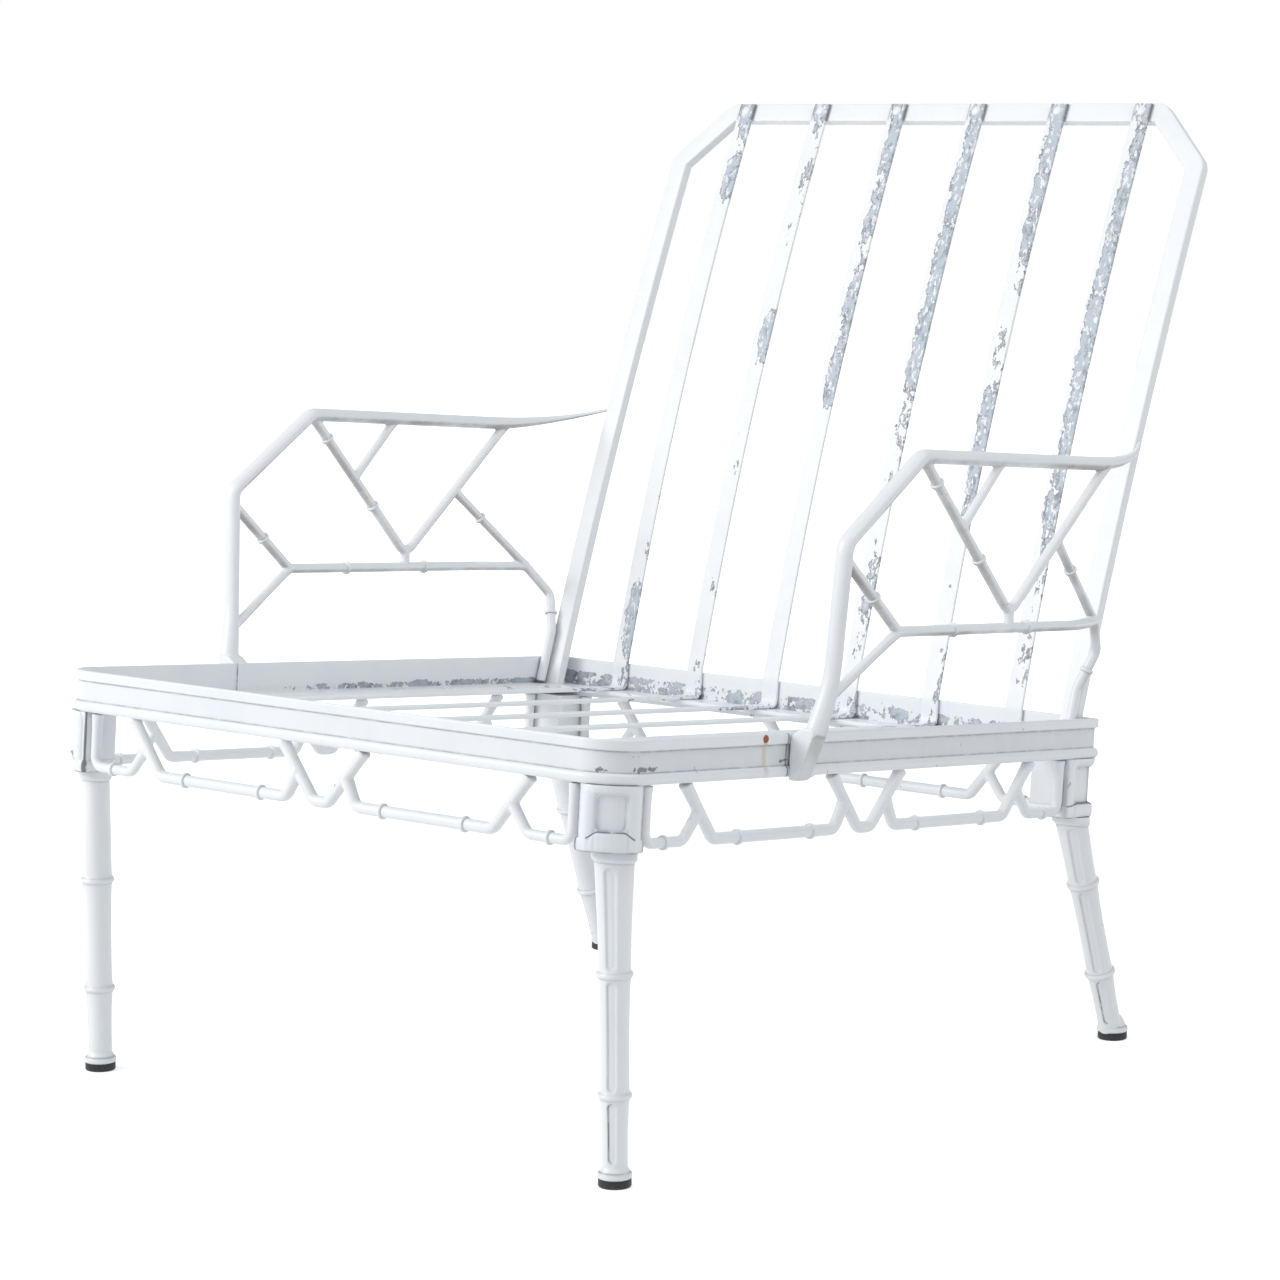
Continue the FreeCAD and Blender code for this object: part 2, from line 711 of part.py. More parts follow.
def arm_points():
    """Named points on the centre lines of the right arm."""
    side = half_width + arm_standoff

    def at(y, level, inward=0.0):
        return Vector(side - inward, y, front_rail_top + level)

    p = SimpleNamespace()
    p.foot = seat_point(half_width + arm_foot_top_proud - arm_section_width / 2,
                        arm_foot_start() + arm_foot_length / 2, 0)
    post = p.foot.y + arm_post_lean
    p.ankle = at(post - arm_ankle_forward, arm_ankle_level, arm_ankle_inward)
    p.strut = between(p.foot, p.ankle, arm_strut_share)
    p.brace = at(post, arm_brace_level)
    p.bend = at(post, arm_bend_level)
    p.corner = at(post + arm_corner_reach, arm_corner_level)
    p.sweep = at(frame_depth - arm_sweep_setback, arm_sweep_level)
    p.tip = back_point(arm_tip_run, -back_bar_depth / 2) + right * back_outer()
    p.bar_front = at(post + arm_bar_reach, arm_bar_level)
    p.bar_turn = at(frame_depth - arm_bar_setback, arm_bar_level - arm_bar_fall)
    p.fork = at(frame_depth - arm_fork_setback, arm_bar_level - arm_bar_fall - arm_fork_drop,
                arm_fork_inward)
    forward = arm_rod_radius + arm_stile_clear
    inside = half_width - arm_heel_inset
    p.elbow = back_point(arm_elbow_run, forward) + right * ((p.fork.x + inside) / 2)
    p.shin = back_point(arm_shin_run, forward) + right * inside
    p.heel = back_point(-ledge_thickness, forward) + right * inside
    valley_y = between(p.corner, p.sweep, arm_valley_share).y
    p.landing = between(p.bar_front, p.bar_turn, (valley_y - p.bar_front.y) / (p.bar_turn.y - p.bar_front.y))
    p.valley = p.landing + up * arm_valley_lift
    p.branch = between(p.corner, p.valley, arm_branch_share)
    p.branch_top = between(p.corner, p.sweep, arm_branch_top_share)
    p.rise_top = p.sweep + toward(p.corner, p.sweep) * arm_rise_run
    p.rise = between(p.valley, p.rise_top, arm_fork_share)
    return p


def arm_foot_start():
    """Distance along the side rail to the front of the arm's foot."""
    return seam_distance + seam_gap / 2 + arm_foot_setback


def make_arm_foot():
    """Wedge that bolts to the outside of the side rail and carries the post."""
    low = rail_bottom - arm_foot_drop
    profile = [(half_width, low), (half_width + arm_foot_bottom_proud, low),
               (half_width + arm_foot_top_proud, arm_foot_rise),
               (half_width + arm_foot_top_proud - arm_section_width, arm_foot_rise),
               (half_width, -rail_edge_round)]
    corners = [Vector(x, arm_foot_start(), w) for x, w in profile]
    return tilted(Part.Face(Part.makePolygon(corners + corners[:1])).extrude(Vector(0, arm_foot_length, 0)))


def make_arm_rail(p):
    """Oval bar of the arm: post, slope and top rail, then a taper that curls in to the stile."""
    along = toward(p.corner, p.sweep)
    section = oval(p.sweep, right, along.cross(right), arm_section_width, arm_section_height)
    path = rounded_path([p.sweep, p.corner, p.bend, p.ankle, p.foot], arm_bend)
    curl = tangent_arc(p.sweep, along, p.tip)
    ending = curl.tangentAt(curl.LastParameter)
    level = ending.cross(up).normalize()
    end_section = oval(p.tip, level, level.cross(ending), arm_tip_width, arm_tip_height)
    tail = Part.Wire(curl).makePipeShell([section, end_section], True, False)
    return [path.makePipeShell([section], True, False), tail]


def make_right_arm():
    """Right arm casting: foot, oval rail and bamboo fretwork, trimmed to the stile and the ledge."""
    p = arm_points()
    solids = [make_arm_foot()] + make_arm_rail(p)
    solids.append(rod([p.corner, p.valley, p.rise_top], arm_rod_radius, arm_bend))
    solids.append(rod([p.brace, p.bar_front, p.bar_turn, p.fork, p.elbow, p.shin, p.heel],
                      arm_rod_radius, arm_bend))
    solids.append(rod([p.branch, p.branch_top], arm_branch_radius, arm_bend))
    solids.append(rod([p.bar_front, p.strut], arm_branch_radius, arm_bend))
    solids.append(rod([p.rise, p.fork], arm_branch_radius, arm_bend))
    solids.append(rod([p.valley + up * (arm_bend / 4), p.landing], arm_branch_radius, arm_bend))
    for start, end, shares, radius in (
            (p.corner, p.valley, arm_slope_rings, arm_rod_radius),
            (p.brace, p.bar_front, arm_brace_rings, arm_rod_radius),
            (p.bar_front, p.bar_turn, arm_bar_rings, arm_rod_radius),
            (p.rise, p.fork, arm_rise_rings, arm_branch_radius)):
        solids += [node_ring(start, end, share, radius) for share in shares]
    reach = 2 * frame_width
    outer = back_outer()
    stile = Part.makeBox(2 * outer, reach, reach, Vector(-outer, p.sweep.y, p.elbow.z))
    inner = half_width - rail_wall
    ledge = tilted(Part.makeBox(2 * inner, reach, rail_height, Vector(-inner, 0, ledge_top - rail_height)))
    return fused(solids).cut(stile).cut(ledge)


def build():
    """All pieces of the chair by name, before they are centred."""
    ledge = ledge_ring()
    pieces = {"front_rail": make_front_rail(ledge), "rear_rail": make_rear_rail(ledge)}
    pieces["right_side_rail"] = make_right_side_rail(ledge)
    front_head = leg_head(front_leg_side_inset, front_leg_setback)
    rear_head = leg_head(rear_leg_side_inset, frame_depth - rear_leg_setback)
    diagonal = Vector(1, 1, 0).normalize()
    pieces["front_right_block"] = make_front_block()
    pieces["rear_right_block"] = make_rear_block()
    pieces["front_right_leg"] = make_leg(front_head, 0, front_ring_low, front_ring_high, diagonal)
    pieces["rear_right_leg"] = make_leg(rear_head, leg_rake, rear_ring_low, rear_ring_high, right)
    pieces["front_right_glide"] = make_glide(leg_foot(front_head, 0))
    pieces["rear_right_glide"] = make_glide(leg_foot(rear_head, leg_rake))
    pieces["right_arm"] = make_right_arm()
    front_half = half_width - block_inset - front_block_size
    cross_apron = make_apron(front_half)
    pieces["front_apron"] = tilted(cross_apron.translated(Vector(0, apron_inset, 0)))
    rear_half = half_width - block_inset - rear_block_size
    rear_apron = make_apron(rear_half).translated(Vector(0, frame_depth - apron_inset, 0))
    pieces["rear_apron"] = tilted(rear_apron)
    side_start = block_inset + front_block_size
    side_end = frame_depth - block_inset - rear_block_size
    side_apron = make_apron((side_end - side_start) / 2)
    side_apron = side_apron.rotated(Vector(0, 0, 0), up, 90)
    place = Vector(half_width - apron_inset, (side_start + side_end) / 2, 0)
    pieces["right_apron"] = tilted(side_apron.translated(place))
    for name in [name for name in pieces if "right" in name]:
        pieces[name.replace("right", "left")] = mirrored(pieces[name])
    pieces["back_frame"] = make_back_frame()
    slat = make_slat()
    for number, x in enumerate(slat_places(), 1):
        pieces[f"slat_{number}"] = slat.translated(right * x)
    pieces["back_rivets"] = make_back_rivets()
    pieces["seat_rivets"] = make_seat_rivets()
    return pieces


def main():
    """Centre the chair over the origin on the floor and write one file for each piece."""
    pieces = build()
    box = FreeCAD.BoundBox()
    for shape in pieces.values():
        box.add(shape.optimalBoundingBox(False, False))
    shift = Vector(0, -box.Center.y, -box.ZMin)
    for name, shape in pieces.items():
        shape.translated(shift).exportStep(f"parts/{name}.step")


main()
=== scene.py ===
import math
from functools import partialmethod
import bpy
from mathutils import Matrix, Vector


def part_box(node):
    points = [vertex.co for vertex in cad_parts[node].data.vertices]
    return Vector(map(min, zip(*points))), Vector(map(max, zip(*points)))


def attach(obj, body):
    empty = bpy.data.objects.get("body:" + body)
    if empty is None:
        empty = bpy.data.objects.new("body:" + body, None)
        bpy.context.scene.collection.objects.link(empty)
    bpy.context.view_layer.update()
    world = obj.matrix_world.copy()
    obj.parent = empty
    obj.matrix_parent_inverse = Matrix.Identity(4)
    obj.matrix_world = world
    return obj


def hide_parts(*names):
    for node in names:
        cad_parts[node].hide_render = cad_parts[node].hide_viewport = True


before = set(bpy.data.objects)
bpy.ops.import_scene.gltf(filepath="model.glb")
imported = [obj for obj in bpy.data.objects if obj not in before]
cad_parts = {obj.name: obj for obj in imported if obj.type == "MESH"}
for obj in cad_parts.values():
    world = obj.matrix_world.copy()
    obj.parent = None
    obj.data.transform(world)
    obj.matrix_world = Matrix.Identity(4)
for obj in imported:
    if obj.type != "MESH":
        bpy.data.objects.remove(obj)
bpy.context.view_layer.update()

from types import SimpleNamespace

import bmesh
import bpy
import numpy as np
from mathutils import Vector

bl_info = {
    "name": "Fretwork lounge chair",
    "version": (1, 0, 0),
    "blender": (4, 5, 0),
    "location": "View3D > Sidebar > Lounge chair",
    "description": "Cast fretwork, peeling paint and studio for the lounge chair",
    "category": "Add Mesh",
}

FRONT_LOW, FRONT_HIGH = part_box("front_rail")
HALF_WIDTH = FRONT_HIGH.x
X_WAY, Y_WAY, Z_WAY = np.eye(3)
SLATS = range(1, 7)
# Grid of the fused castings, step along a rod, points on a rounded corner, smallest angle of a sharp edge
VOXEL = 0.0011
PATH_STEP = 2 * VOXEL
ARC_STEPS = 11
SHARP = math.radians(50)
join = np.concatenate


def size(name, default, text):
    """A length in metres that a user may change."""
    return bpy.props.FloatProperty(name=name, description=text, default=default, unit="LENGTH", precision=4)


def turn(name, default, text):
    """An angle that a user may change, given in degrees."""
    return bpy.props.FloatProperty(name=name, description=text, default=math.radians(default), subtype="ANGLE",
                                   unit="ROTATION")


def share(name, default, text, unit="NONE"):
    """A plain number, or a power, that a user may change."""
    return bpy.props.FloatProperty(name=name, description=text, default=default, precision=3, unit=unit)


def tone(name, default, text):
    """A linear colour that a user may change."""
    return bpy.props.FloatVectorProperty(name=name, description=text, default=default, size=3, subtype="COLOR",
                                         min=0.0, max=1.0)


class ChairRails(bpy.types.PropertyGroup):
    """Sizes of the moulded seat rails and their corner blocks."""

    deck: size("Deck height", 0.381, "Front rail's top edge above the floor")
    depth: size("Depth", 0.697, "Seat frame from front to rear")
    tilt: turn("Tilt", 4.9, "Backward lean of the seat frame")
    height: size("Rail height", 0.038, "Height of the moulded rail")
    wall: size("Wall", 0.005, "Thickness of the upright wall")
    base: size("Base", 0.015, "Thickness below the ledge")
    band: size("Top band", 0.0085, "Height of the flat band along the top")
    band_slope: size("Band slope", 0.0012, "Height of the slope below that band")
    panel: size("Panel depth", 0.0023, "Depth of the sunk field")
    bead: size("Bead", 0.010, "Height of the half-round bead along the bottom")
    bead_proud: size("Bead proud", 0.0009, "How far the bead stands out past the top band")
    corner: size("Corner radius", 0.042, "Plan radius of the front corners")
    ledge: size("Ledge reach", 0.041, "Inner ledge's reach from the outer face")
    ledge_drop: size("Ledge drop", 0.0275, "Depth of the ledge below the top")
    ledge_thick: size("Ledge thickness", 0.004, "Thickness of the ledge")
    seam: size("Seam distance", 0.226, "From the front to the seam by the arm's foot")
    seam_gap: size("Seam gap", 0.0004, "Open gap of that seam")
    block: size("Block height", 0.056, "Height of a corner block")
    block_inset: size("Block inset", 0.002, "Setback of the blocks from the rail's face")
    front_block: size("Front block", 0.0385, "Plan size of a front block")
    front_round: size("Front block radius", 0.033, "Radius of a front block's outer corner")
    block_gap: size("Block gap", 0.0037, "Gap between a front block and the aprons")
    rear_block: size("Rear block", 0.042, "Plan size of a rear block")
    foot_band: size("Block band", 0.0115, "Height of the rounded band at a block's foot")
    band_proud: size("Band proud", 0.0022, "How far that band stands out")
    arch: size("Band arch", 0.0058, "How much the band rises in the middle of a front block")
    rear_arch: size("Rear band arch", 0.0020, "The same on a rear block")
    niche_width: size("Niche width", 0.029, "Width of a front block's recessed panel")
    niche_depth: size("Niche depth", 0.0034, "Depth of the recessed panels")
    niche_round: size("Niche corner", 0.006, "Corner radius of the recessed panels")
    rod: size("Rod radius", 0.007, "Radius of the half-round rod round a panel")
    rod_bend: size("Rod bend", 0.0115, "Bend radius of that rod")
    rod_proud: size("Rod proud", 0.0024, "How far that rod stands out")


class ChairLegs(bpy.types.PropertyGroup):
    """Sizes of the bamboo legs."""

    high: size("Upper radius", 0.0136, "Radius at the upper node ring")
    middle: size("Middle radius", 0.0126, "Radius at the lower node ring")
    low: size("Lower radius", 0.0114, "Radius above the foot")
    waist: size("Waist", 0.0008, "How far a joint draws in between its rings")
    oval_long: size("Oval length", 0.036, "Long axis of the top oval")
    oval_short: size("Oval width", 0.0265, "Short axis of the top oval")
    collar: size("Collar height", 0.009, "Height of the collar below the block")
    collar_proud: size("Collar proud", 0.0022, "How far the collar stands out")
    ring: size("Ring height", 0.0055, "Height of a node ring")
    ring_proud: size("Ring proud", 0.0019, "How far a node ring stands out")
    front_low: size("Front lower ring", 0.078, "Height of a front leg's lower ring")
    front_high: size("Front upper ring", 0.181, "Height of a front leg's upper ring")
    rear_low: size("Rear lower ring", 0.073, "Lower ring's distance up a rear leg")
    rear_high: size("Rear upper ring", 0.170, "Upper ring's distance up a rear leg")
    foot: size("Foot radius", 0.0146, "Radius of the flared foot")
    foot_height: size("Foot height", 0.010, "Height of the flared foot")
    glide: size("Glide height", 0.0075, "Height of the glide below the foot")
    flute: size("Flute depth", 0.0015, "Depth of the groove along each joint")
    flute_half: size("Flute half width", 0.0052, "Half the width of that groove")
    flute_end: size("Flute end", 0.004, "Distance from a groove's end to a ring")
    flute_turn: turn("Flute turn", -61.0, "Where the groove lies round the leg")
    rake: turn("Rake", 18.5, "Backward lean of the rear legs")
    front_side: size("Front side inset", 0.0235, "Front leg's distance from the frame's side")
    front_set: size("Front setback", 0.0315, "Front leg's distance from the frame's front")
    rear_side: size("Rear side inset", 0.0165, "Rear leg's distance from the frame's side")
    rear_set: size("Rear setback", 0.0135, "Rear leg's distance from the frame's rear")


class ChairFretwork(bpy.types.PropertyGroup):
    """Sizes of the fretwork aprons and arms."""

    apron: size("Apron depth", 0.055, "Depth of the aprons below the rails")
    apron_rod: size("Apron rod", 0.0054, "Radius of the aprons' main rods")
    apron_branch: size("Apron branch", 0.0048, "Radius of the aprons' corner rods")
    apron_inset: size("Apron inset", 0.008, "Setback of the aprons from the rails' face")
    apron_outer: size("Outer distance", 0.0495, "Outer diagonal's distance from the apron's end")
    apron_inner: size("Inner distance", 0.050, "Half width of the middle V at the rail")
    apron_valley: size("Valley", 0.009, "Half width of the V's flat bottom")
    apron_bar_end: size("Bar end", 0.043, "Long bar's inner end from the apron's middle")
    apron_slope: share("Slope", 0.8, "Run of the outer diagonals for each unit of drop")
    apron_gap: size("Apron gap", 0.0002, "Gap between an apron and the pieces round it")
    bend: size("Bend", 0.010, "Bend radius of the aprons' rods")
    arm_bend: size("Arm bend", 0.012, "Bend radius of the arms' rods")
    rod: size("Arm rod", 0.0049, "Radius of the arms' main rods")
    branch: size("Arm branch", 0.0044, "Radius of the arms' side rods")
    section_width: size("Arm rail width", 0.017, "Width of the arm's oval rail")
    section_height: size("Arm rail height", 0.013, "Height of the arm's oval rail")
    tip_width: size("Tip width", 0.0050, "Arm rail's width at the back frame")
    tip_height: size("Tip height", 0.0036, "Arm rail's height at the back frame")
    arm_brace: size("Brace height", 0.131, "Where the brace leaves the post, above the deck")
    arm_post: size("Post height", 0.144, "Where the post bends backwards, above the deck")
    arm_corner: size("Corner height", 0.212, "Top rail's front corner above the deck")
    arm_sweep: size("Sweep height", 0.189, "Top rail's height where its last curve begins")
    arm_tip: size("Tip distance", 0.301, "Where the arm meets the back frame, up from its foot")
    bar_front: size("Bar front", 0.061, "Lower bar's front end above the deck")
    bar_rear: size("Bar rear", 0.041, "Lower bar's rear end above the deck")
    standoff: size("Standoff", 0.034, "Arm's centre from the rail's face")
    foot_reach: size("Foot reach", 0.028, "How far the arm's foot stands out from the rail")
    foot_length: size("Foot length", 0.0195, "Length of the arm's foot along the rail")
    foot_gap: size("Foot gap", 0.0008, "Gap between the arm's foot and the seam")
    ring_proud: size("Node proud", 0.0018, "How far a bamboo node stands out")
    ring: size("Node length", 0.0046, "Length of a bamboo node")
    flare: size("Joint flare", 0.0011, "How much a rod thickens where it joins another")
    flare_run: size("Flare run", 0.006, "Distance in which that thickening fades")
    soften: bpy.props.IntProperty(name="Softening", default=3, min=0, max=20,
                                  description="Smoothing passes that round the cast joints")


class ChairBack(bpy.types.PropertyGroup):
    """Sizes of the back frame and the slats."""

    lean_low: turn("Lower lean", 18.5, "Lean of the back frame at the seat")
    lean_high: turn("Upper lean", 24.5, "Lean of the back frame at its top")
    length: size("Back length", 0.648, "Back frame from ledge to top")
    bar_width: size("Bar width", 0.020, "Width of the back frame's bar")
    bar_depth: size("Bar depth", 0.011, "Depth of the back frame's bar")
    bar_edge: size("Bar edge", 0.0016, "Edge radius of that bar")
    side_gap: size("Side gap", 0.0035, "Gap between the back frame and the side rails")
    setback: size("Setback", 0.032, "Back frame's foot from the frame's rear")
    chamfer: size("Chamfer", 0.062, "Size of the cut-off upper corners")
    bend: size("Corner bend", 0.009, "Bend radius at the cut-off corners")
    pitch: size("Slat pitch", 0.100, "Distance from slat to slat")
    width: size("Slat width", 0.020, "Width of a slat")
    thick: size("Slat thickness", 0.003, "Thickness of a slat")
    slat_edge: size("Slat edge", 0.0011, "Edge radius of a slat")
    slat_lean: turn("Slat lean", 15.5, "Lean of the slats above the rear rail")
    slat_bend: size("Slat bend", 0.007, "Bend radius of a slat")
    knee: size("Knee run", 0.024, "Straight run above the rear rail")
    front_clear: size("Front clearance", 0.002, "Gap between a slat's end and the front rail")
    top_clear: size("Top clearance", 0.002, "Drop of a slat's end below the frame's top")
    rail_gap: size("Rail gap", 0.0003, "Gap between the slats and the rear rail")
    frame_gap: size("Frame gap", 0.0002, "Gap between the slats and the back frame")
    rivet: size("Rivet radius", 0.005, "Radius of a rivet's head")
    rivet_rise: size("Rivet rise", 0.0024, "Height of a rivet's head")
    screw: size("Screw radius", 0.0035, "Radius of an arm screw's head")
    screw_rise: size("Screw rise", 0.0016, "Height of an arm screw's head")


class ChairPaint(bpy.types.PropertyGroup):
    """Colours of the finish."""

    white: tone("Paint", (0.85, 0.86, 0.87), "White paint")
    chalk: tone("Chalked paint", (0.72, 0.755, 0.80), "Chalky paint in the weathered patches")
    # Colour of soiling, and of the painted shade in corners, crevices and shadow gaps.
    soiling_and_shade_tone: tone("Grime", (0.20, 0.20, 0.215), "Dirt that gathers in the corners")
    metal: tone("Bare metal", (0.49, 0.535, 0.585), "Weathered aluminium under the paint")
    dark_metal: tone("Dark metal", (0.15, 0.155, 0.165), "Stained aluminium and lifted paint's shadow")
    # Painted shade, with grey-brown soiling, on the arms' undersides.
    underside_shade_and_soiling: tone("Film", (0.37, 0.355, 0.33), "Grey-brown film on the arms' undersides")
    rust: tone("Rust", (0.40, 0.105, 0.028), "Rust on the steel screws")
    stain: tone("Rust stain", (0.62, 0.46, 0.33), "Pale rust stain that runs from a screw")
    glide: tone("Glide", (0.012, 0.012, 0.014), "Black glides")


class ChairStage(bpy.types.PropertyGroup):
    """Camera and studio."""

    azimuth: turn("Azimuth", 40.716, "Camera's turn to the chair's right of its front")
    pitch: turn("Pitch", 7.431, "Camera's downward tilt")
    distance: size("Distance", 3.7375, "From the camera to its target")
    target_x: size("Target X", 0.0674, "Target's place across the chair")
    target_y: size("Target Y", 0.3492, "Target's distance behind the front rail")
    target_z: size("Target height", 0.4068, "Target's height")
    lens: bpy.props.FloatProperty(name="Lens", default=113.77, subtype="DISTANCE_CAMERA",
                                  description="Focal length on a sensor 36 mm wide")
    key: share("Key light", 114.0, "Large soft light from the front left", "POWER")
    fill: share("Fill light", 19.0, "Soft light from above on the right", "POWER")
    sky: share("Sky", 0.555, "Strength of the even light all round")
    sky_tone: tone("Sky tone", (0.905, 0.95, 1.0), "Colour of the even light")
    floor: tone("Floor", (0.86, 0.86, 0.86), "Pale studio floor")
    floor_grain: tone("Floor grain", (0.80, 0.80, 0.80), "Faint clouds in the floor's colour")


GROUPS = {"chair_rails": ChairRails, "chair_legs": ChairLegs, "chair_fretwork": ChairFretwork,
          "chair_back": ChairBack, "chair_paint": ChairPaint, "chair_stage": ChairStage}


def settings(*names):
    """The chair's property groups of these names: one group, or a list of several."""
    groups = [getattr(bpy.context.scene, f"chair_{name}") for name in names]
    return groups if len(groups) > 1 else groups[0]


def unit(vectors):
    """Vectors divided by their lengths."""
    return vectors / np.linalg.norm(vectors, axis=-1, keepdims=True)


def smooth(low, high, values):
    """Cubic step: 0 below low, 1 above high, t * t * (3 - 2 t) between."""
    t = np.clip((values - low) / (high - low), 0.0, 1.0)
    return t * t * (3.0 - 2.0 * t)


def bump(values, centre, half):
    """Half-round swelling: square root of 1 - ((value - centre) / half) squared, 0 outside it."""
    return np.sqrt(np.clip(1.0 - ((values - centre) / half) ** 2, 0.0, None))


def fade(apart, width):
    """Bell: exp(-(distance / width) squared)."""
    return np.exp(-(apart / width) ** 2)


def circle(sides):
    """Even angles round a full turn."""
    return np.linspace(0.0, 2 * math.pi, sides, endpoint=False)


def along(points):
    """Distance along a polyline at each of its points."""
    return join([[0.0], np.cumsum(np.linalg.norm(np.diff(points, axis=0), axis=1))])


def resample(points, step):
    """Points at even distances along a polyline."""
    reach = along(points)
    places = np.linspace(0.0, reach[-1], max(math.ceil(reach[-1] / step), 1) + 1)
    return np.stack([np.interp(places, reach, column) for column in points.T], axis=1)


def arc_corner(before, corner, after, bend, limit=0.45):
    """Arc that rounds a corner: centre - radius * (cos a * inward - sin a * across)."""
    back, ahead = unit(before - corner), unit(after - corner)
    half = math.acos(float(np.clip(back @ ahead, -1.0, 1.0))) / 2
    room = limit * min(np.linalg.norm(before - corner), np.linalg.norm(after - corner))
    radius = min(bend / math.tan(half), room) * math.tan(half)
    inward, across = unit(back + ahead), unit(ahead - back)
    centre = corner + inward * radius / math.sin(half)
    angle = np.linspace(half - math.pi / 2, math.pi / 2 - half, ARC_STEPS)[:, None]
    return centre + radius * (np.sin(angle) * across - np.cos(angle) * inward)


def tangent_arc(start, ahead, end, count):
    """Arc that leaves the start straight ahead: start + radius * (sin a * ahead + (1 - cos a) * aside)."""
    chord = end - start
    spread = math.acos(float(np.clip(ahead @ unit(chord), -1.0, 1.0)))
    radius = np.linalg.norm(chord) / (2 * math.sin(spread))
    angle = np.linspace(0.0, 2 * spread, count)[1:, None]
    return start + radius * (np.sin(angle) * ahead + (1 - np.cos(angle)) * unit(chord - ahead * (chord @ ahead)))


def rounded_path(points, bend, step):
    """Even points along straight runs that tangent arcs join."""
    points = [np.asarray(point, float) for point in points]
    bends = [arc_corner(a, b, c, bend) for a, b, c in zip(points, points[1:], points[2:])]
    return resample(join([points[0][None], *bends, points[-1][None]]), step)


def rounded_outline(corners, radii, limit=0.45):
    """Closed outline through corners, each rounded by its own radius."""
    corners = [np.asarray(corner, float) for corner in corners]
    around = zip(corners[-1:] + corners[:-1], corners, corners[1:] + corners[:1], radii)
    return join([arc_corner(a, b, c, radius, limit) for a, b, c, radius in around])


def filled(outline, step):
    """Closed outline with extra points on its long runs, none further apart than the step."""
    ahead = np.roll(outline, -1, 0) - outline
    counts = np.maximum(np.ceil(np.linalg.norm(ahead, axis=1) / step), 1).astype(int)
    start = np.repeat(np.arange(len(outline)), counts)
    part = (np.arange(len(start)) - np.repeat(np.cumsum(counts) - counts, counts)) / counts[start]
    return outline[start] + ahead[start] * part[:, None]


def tube(points, wide, high, hint, sides=28):
    """Rings of an oval tube: point + wide cos(a) side + high sin(a) lift, across the path."""
    tangent = unit(np.gradient(points, axis=0))
    side = unit(np.cross(tangent, hint))
    lift = np.cross(side, tangent)
    angle = circle(sides)[None, :, None]
    wide, high = wide[:, None, None], high[:, None, None]
    return points[:, None] + wide * np.cos(angle) * side[:, None] + high * np.sin(angle) * lift[:, None]


def skin(rings, **layers):
    """Closed skin over a stack of rings: quads between neighbours and one flat face on each end."""
    rows, columns = rings.shape[:2]
    index = np.arange(rows * columns).reshape(rows, columns)
    low, high = index[:-1], index[1:]
    quads = np.stack([low, np.roll(low, -1, 1), np.roll(high, -1, 1), high], axis=-1).reshape(-1, 4)
    return {"points": rings.reshape(-1, 3), "quads": quads, "ends": [index[0][::-1], index[-1]],
            "layers": {name: values.reshape(rows * columns, -1) for name, values in layers.items()}}


def mirrored(shells):
    """The same skins on the chair's left, with their faces turned round to point outwards."""
    return [{"points": shell["points"] * [-1.0, 1.0, 1.0], "quads": shell["quads"][:, ::-1],
             "ends": [end[::-1] for end in shell["ends"]], "layers": shell["layers"]} for shell in shells]


def placed(name, data):
    """New object in the scene."""
    made = bpy.data.objects.new(name, data)
    bpy.context.scene.collection.objects.link(made)
    return made


def put(name, shells, finish, *nodes, slot="frame"):
    """Join closed skins into one object at the origin that rides on the chair and replaces these nodes."""
    starts = np.cumsum([0] + [len(shell["points"]) for shell in shells])
    quads = join([shell["quads"] + start for shell, start in zip(shells, starts)])
    ends = [end + start for shell, start in zip(shells, starts) for end in shell["ends"]]
    mesh = bpy.data.meshes.new(name)
    mesh.from_pydata(join([shell["points"] for shell in shells]), [], quads.tolist() + [end.tolist() for end in ends])
    for layer in shells[0]["layers"]:
        values = join([shell["layers"][layer] for shell in shells]).astype(np.float32)
        kind, field = ("FLOAT", "value") if values.shape[1] == 1 else ("FLOAT_VECTOR", "vector")
        mesh.attributes.new(layer, kind, "POINT").data.foreach_set(field, values.ravel())
    work = bmesh.new()
    work.from_mesh(mesh)
    bmesh.ops.recalc_face_normals(work, faces=work.faces)
    work.to_mesh(mesh)
    work.free()
    mesh.shade_smooth()
    mesh.set_sharp_from_angle(angle=SHARP)
    mesh.materials.append(finish)
    piece = placed(name, mesh)
    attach(piece, "root")
    if nodes:
        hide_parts(*nodes)
    return piece


def put_pair(node, shells, finish):
    """Put a casting down on the right and its mirror image on the left, named by their node."""
    for side, sided in (("right", shells), ("left", mirrored(shells))):
        put(node.format(side) + "_casting", sided, finish, node.format(side))


def seat(x, v, w):
    """Seat frame to chair: x across, v backwards along the rails and w up, leaned back by the tilt."""
    rails = settings("rails")
    cosine, sine = math.cos(rails.tilt), math.sin(rails.tilt)
    start = FRONT_LOW.y + (rails.height - rails.bead / 2) * sine
    x, v, w = np.broadcast_arrays(x, v, w)
    return np.stack([x, start + v * cosine + w * sine, rails.deck - v * sine + w * cosine], axis=-1).astype(float)


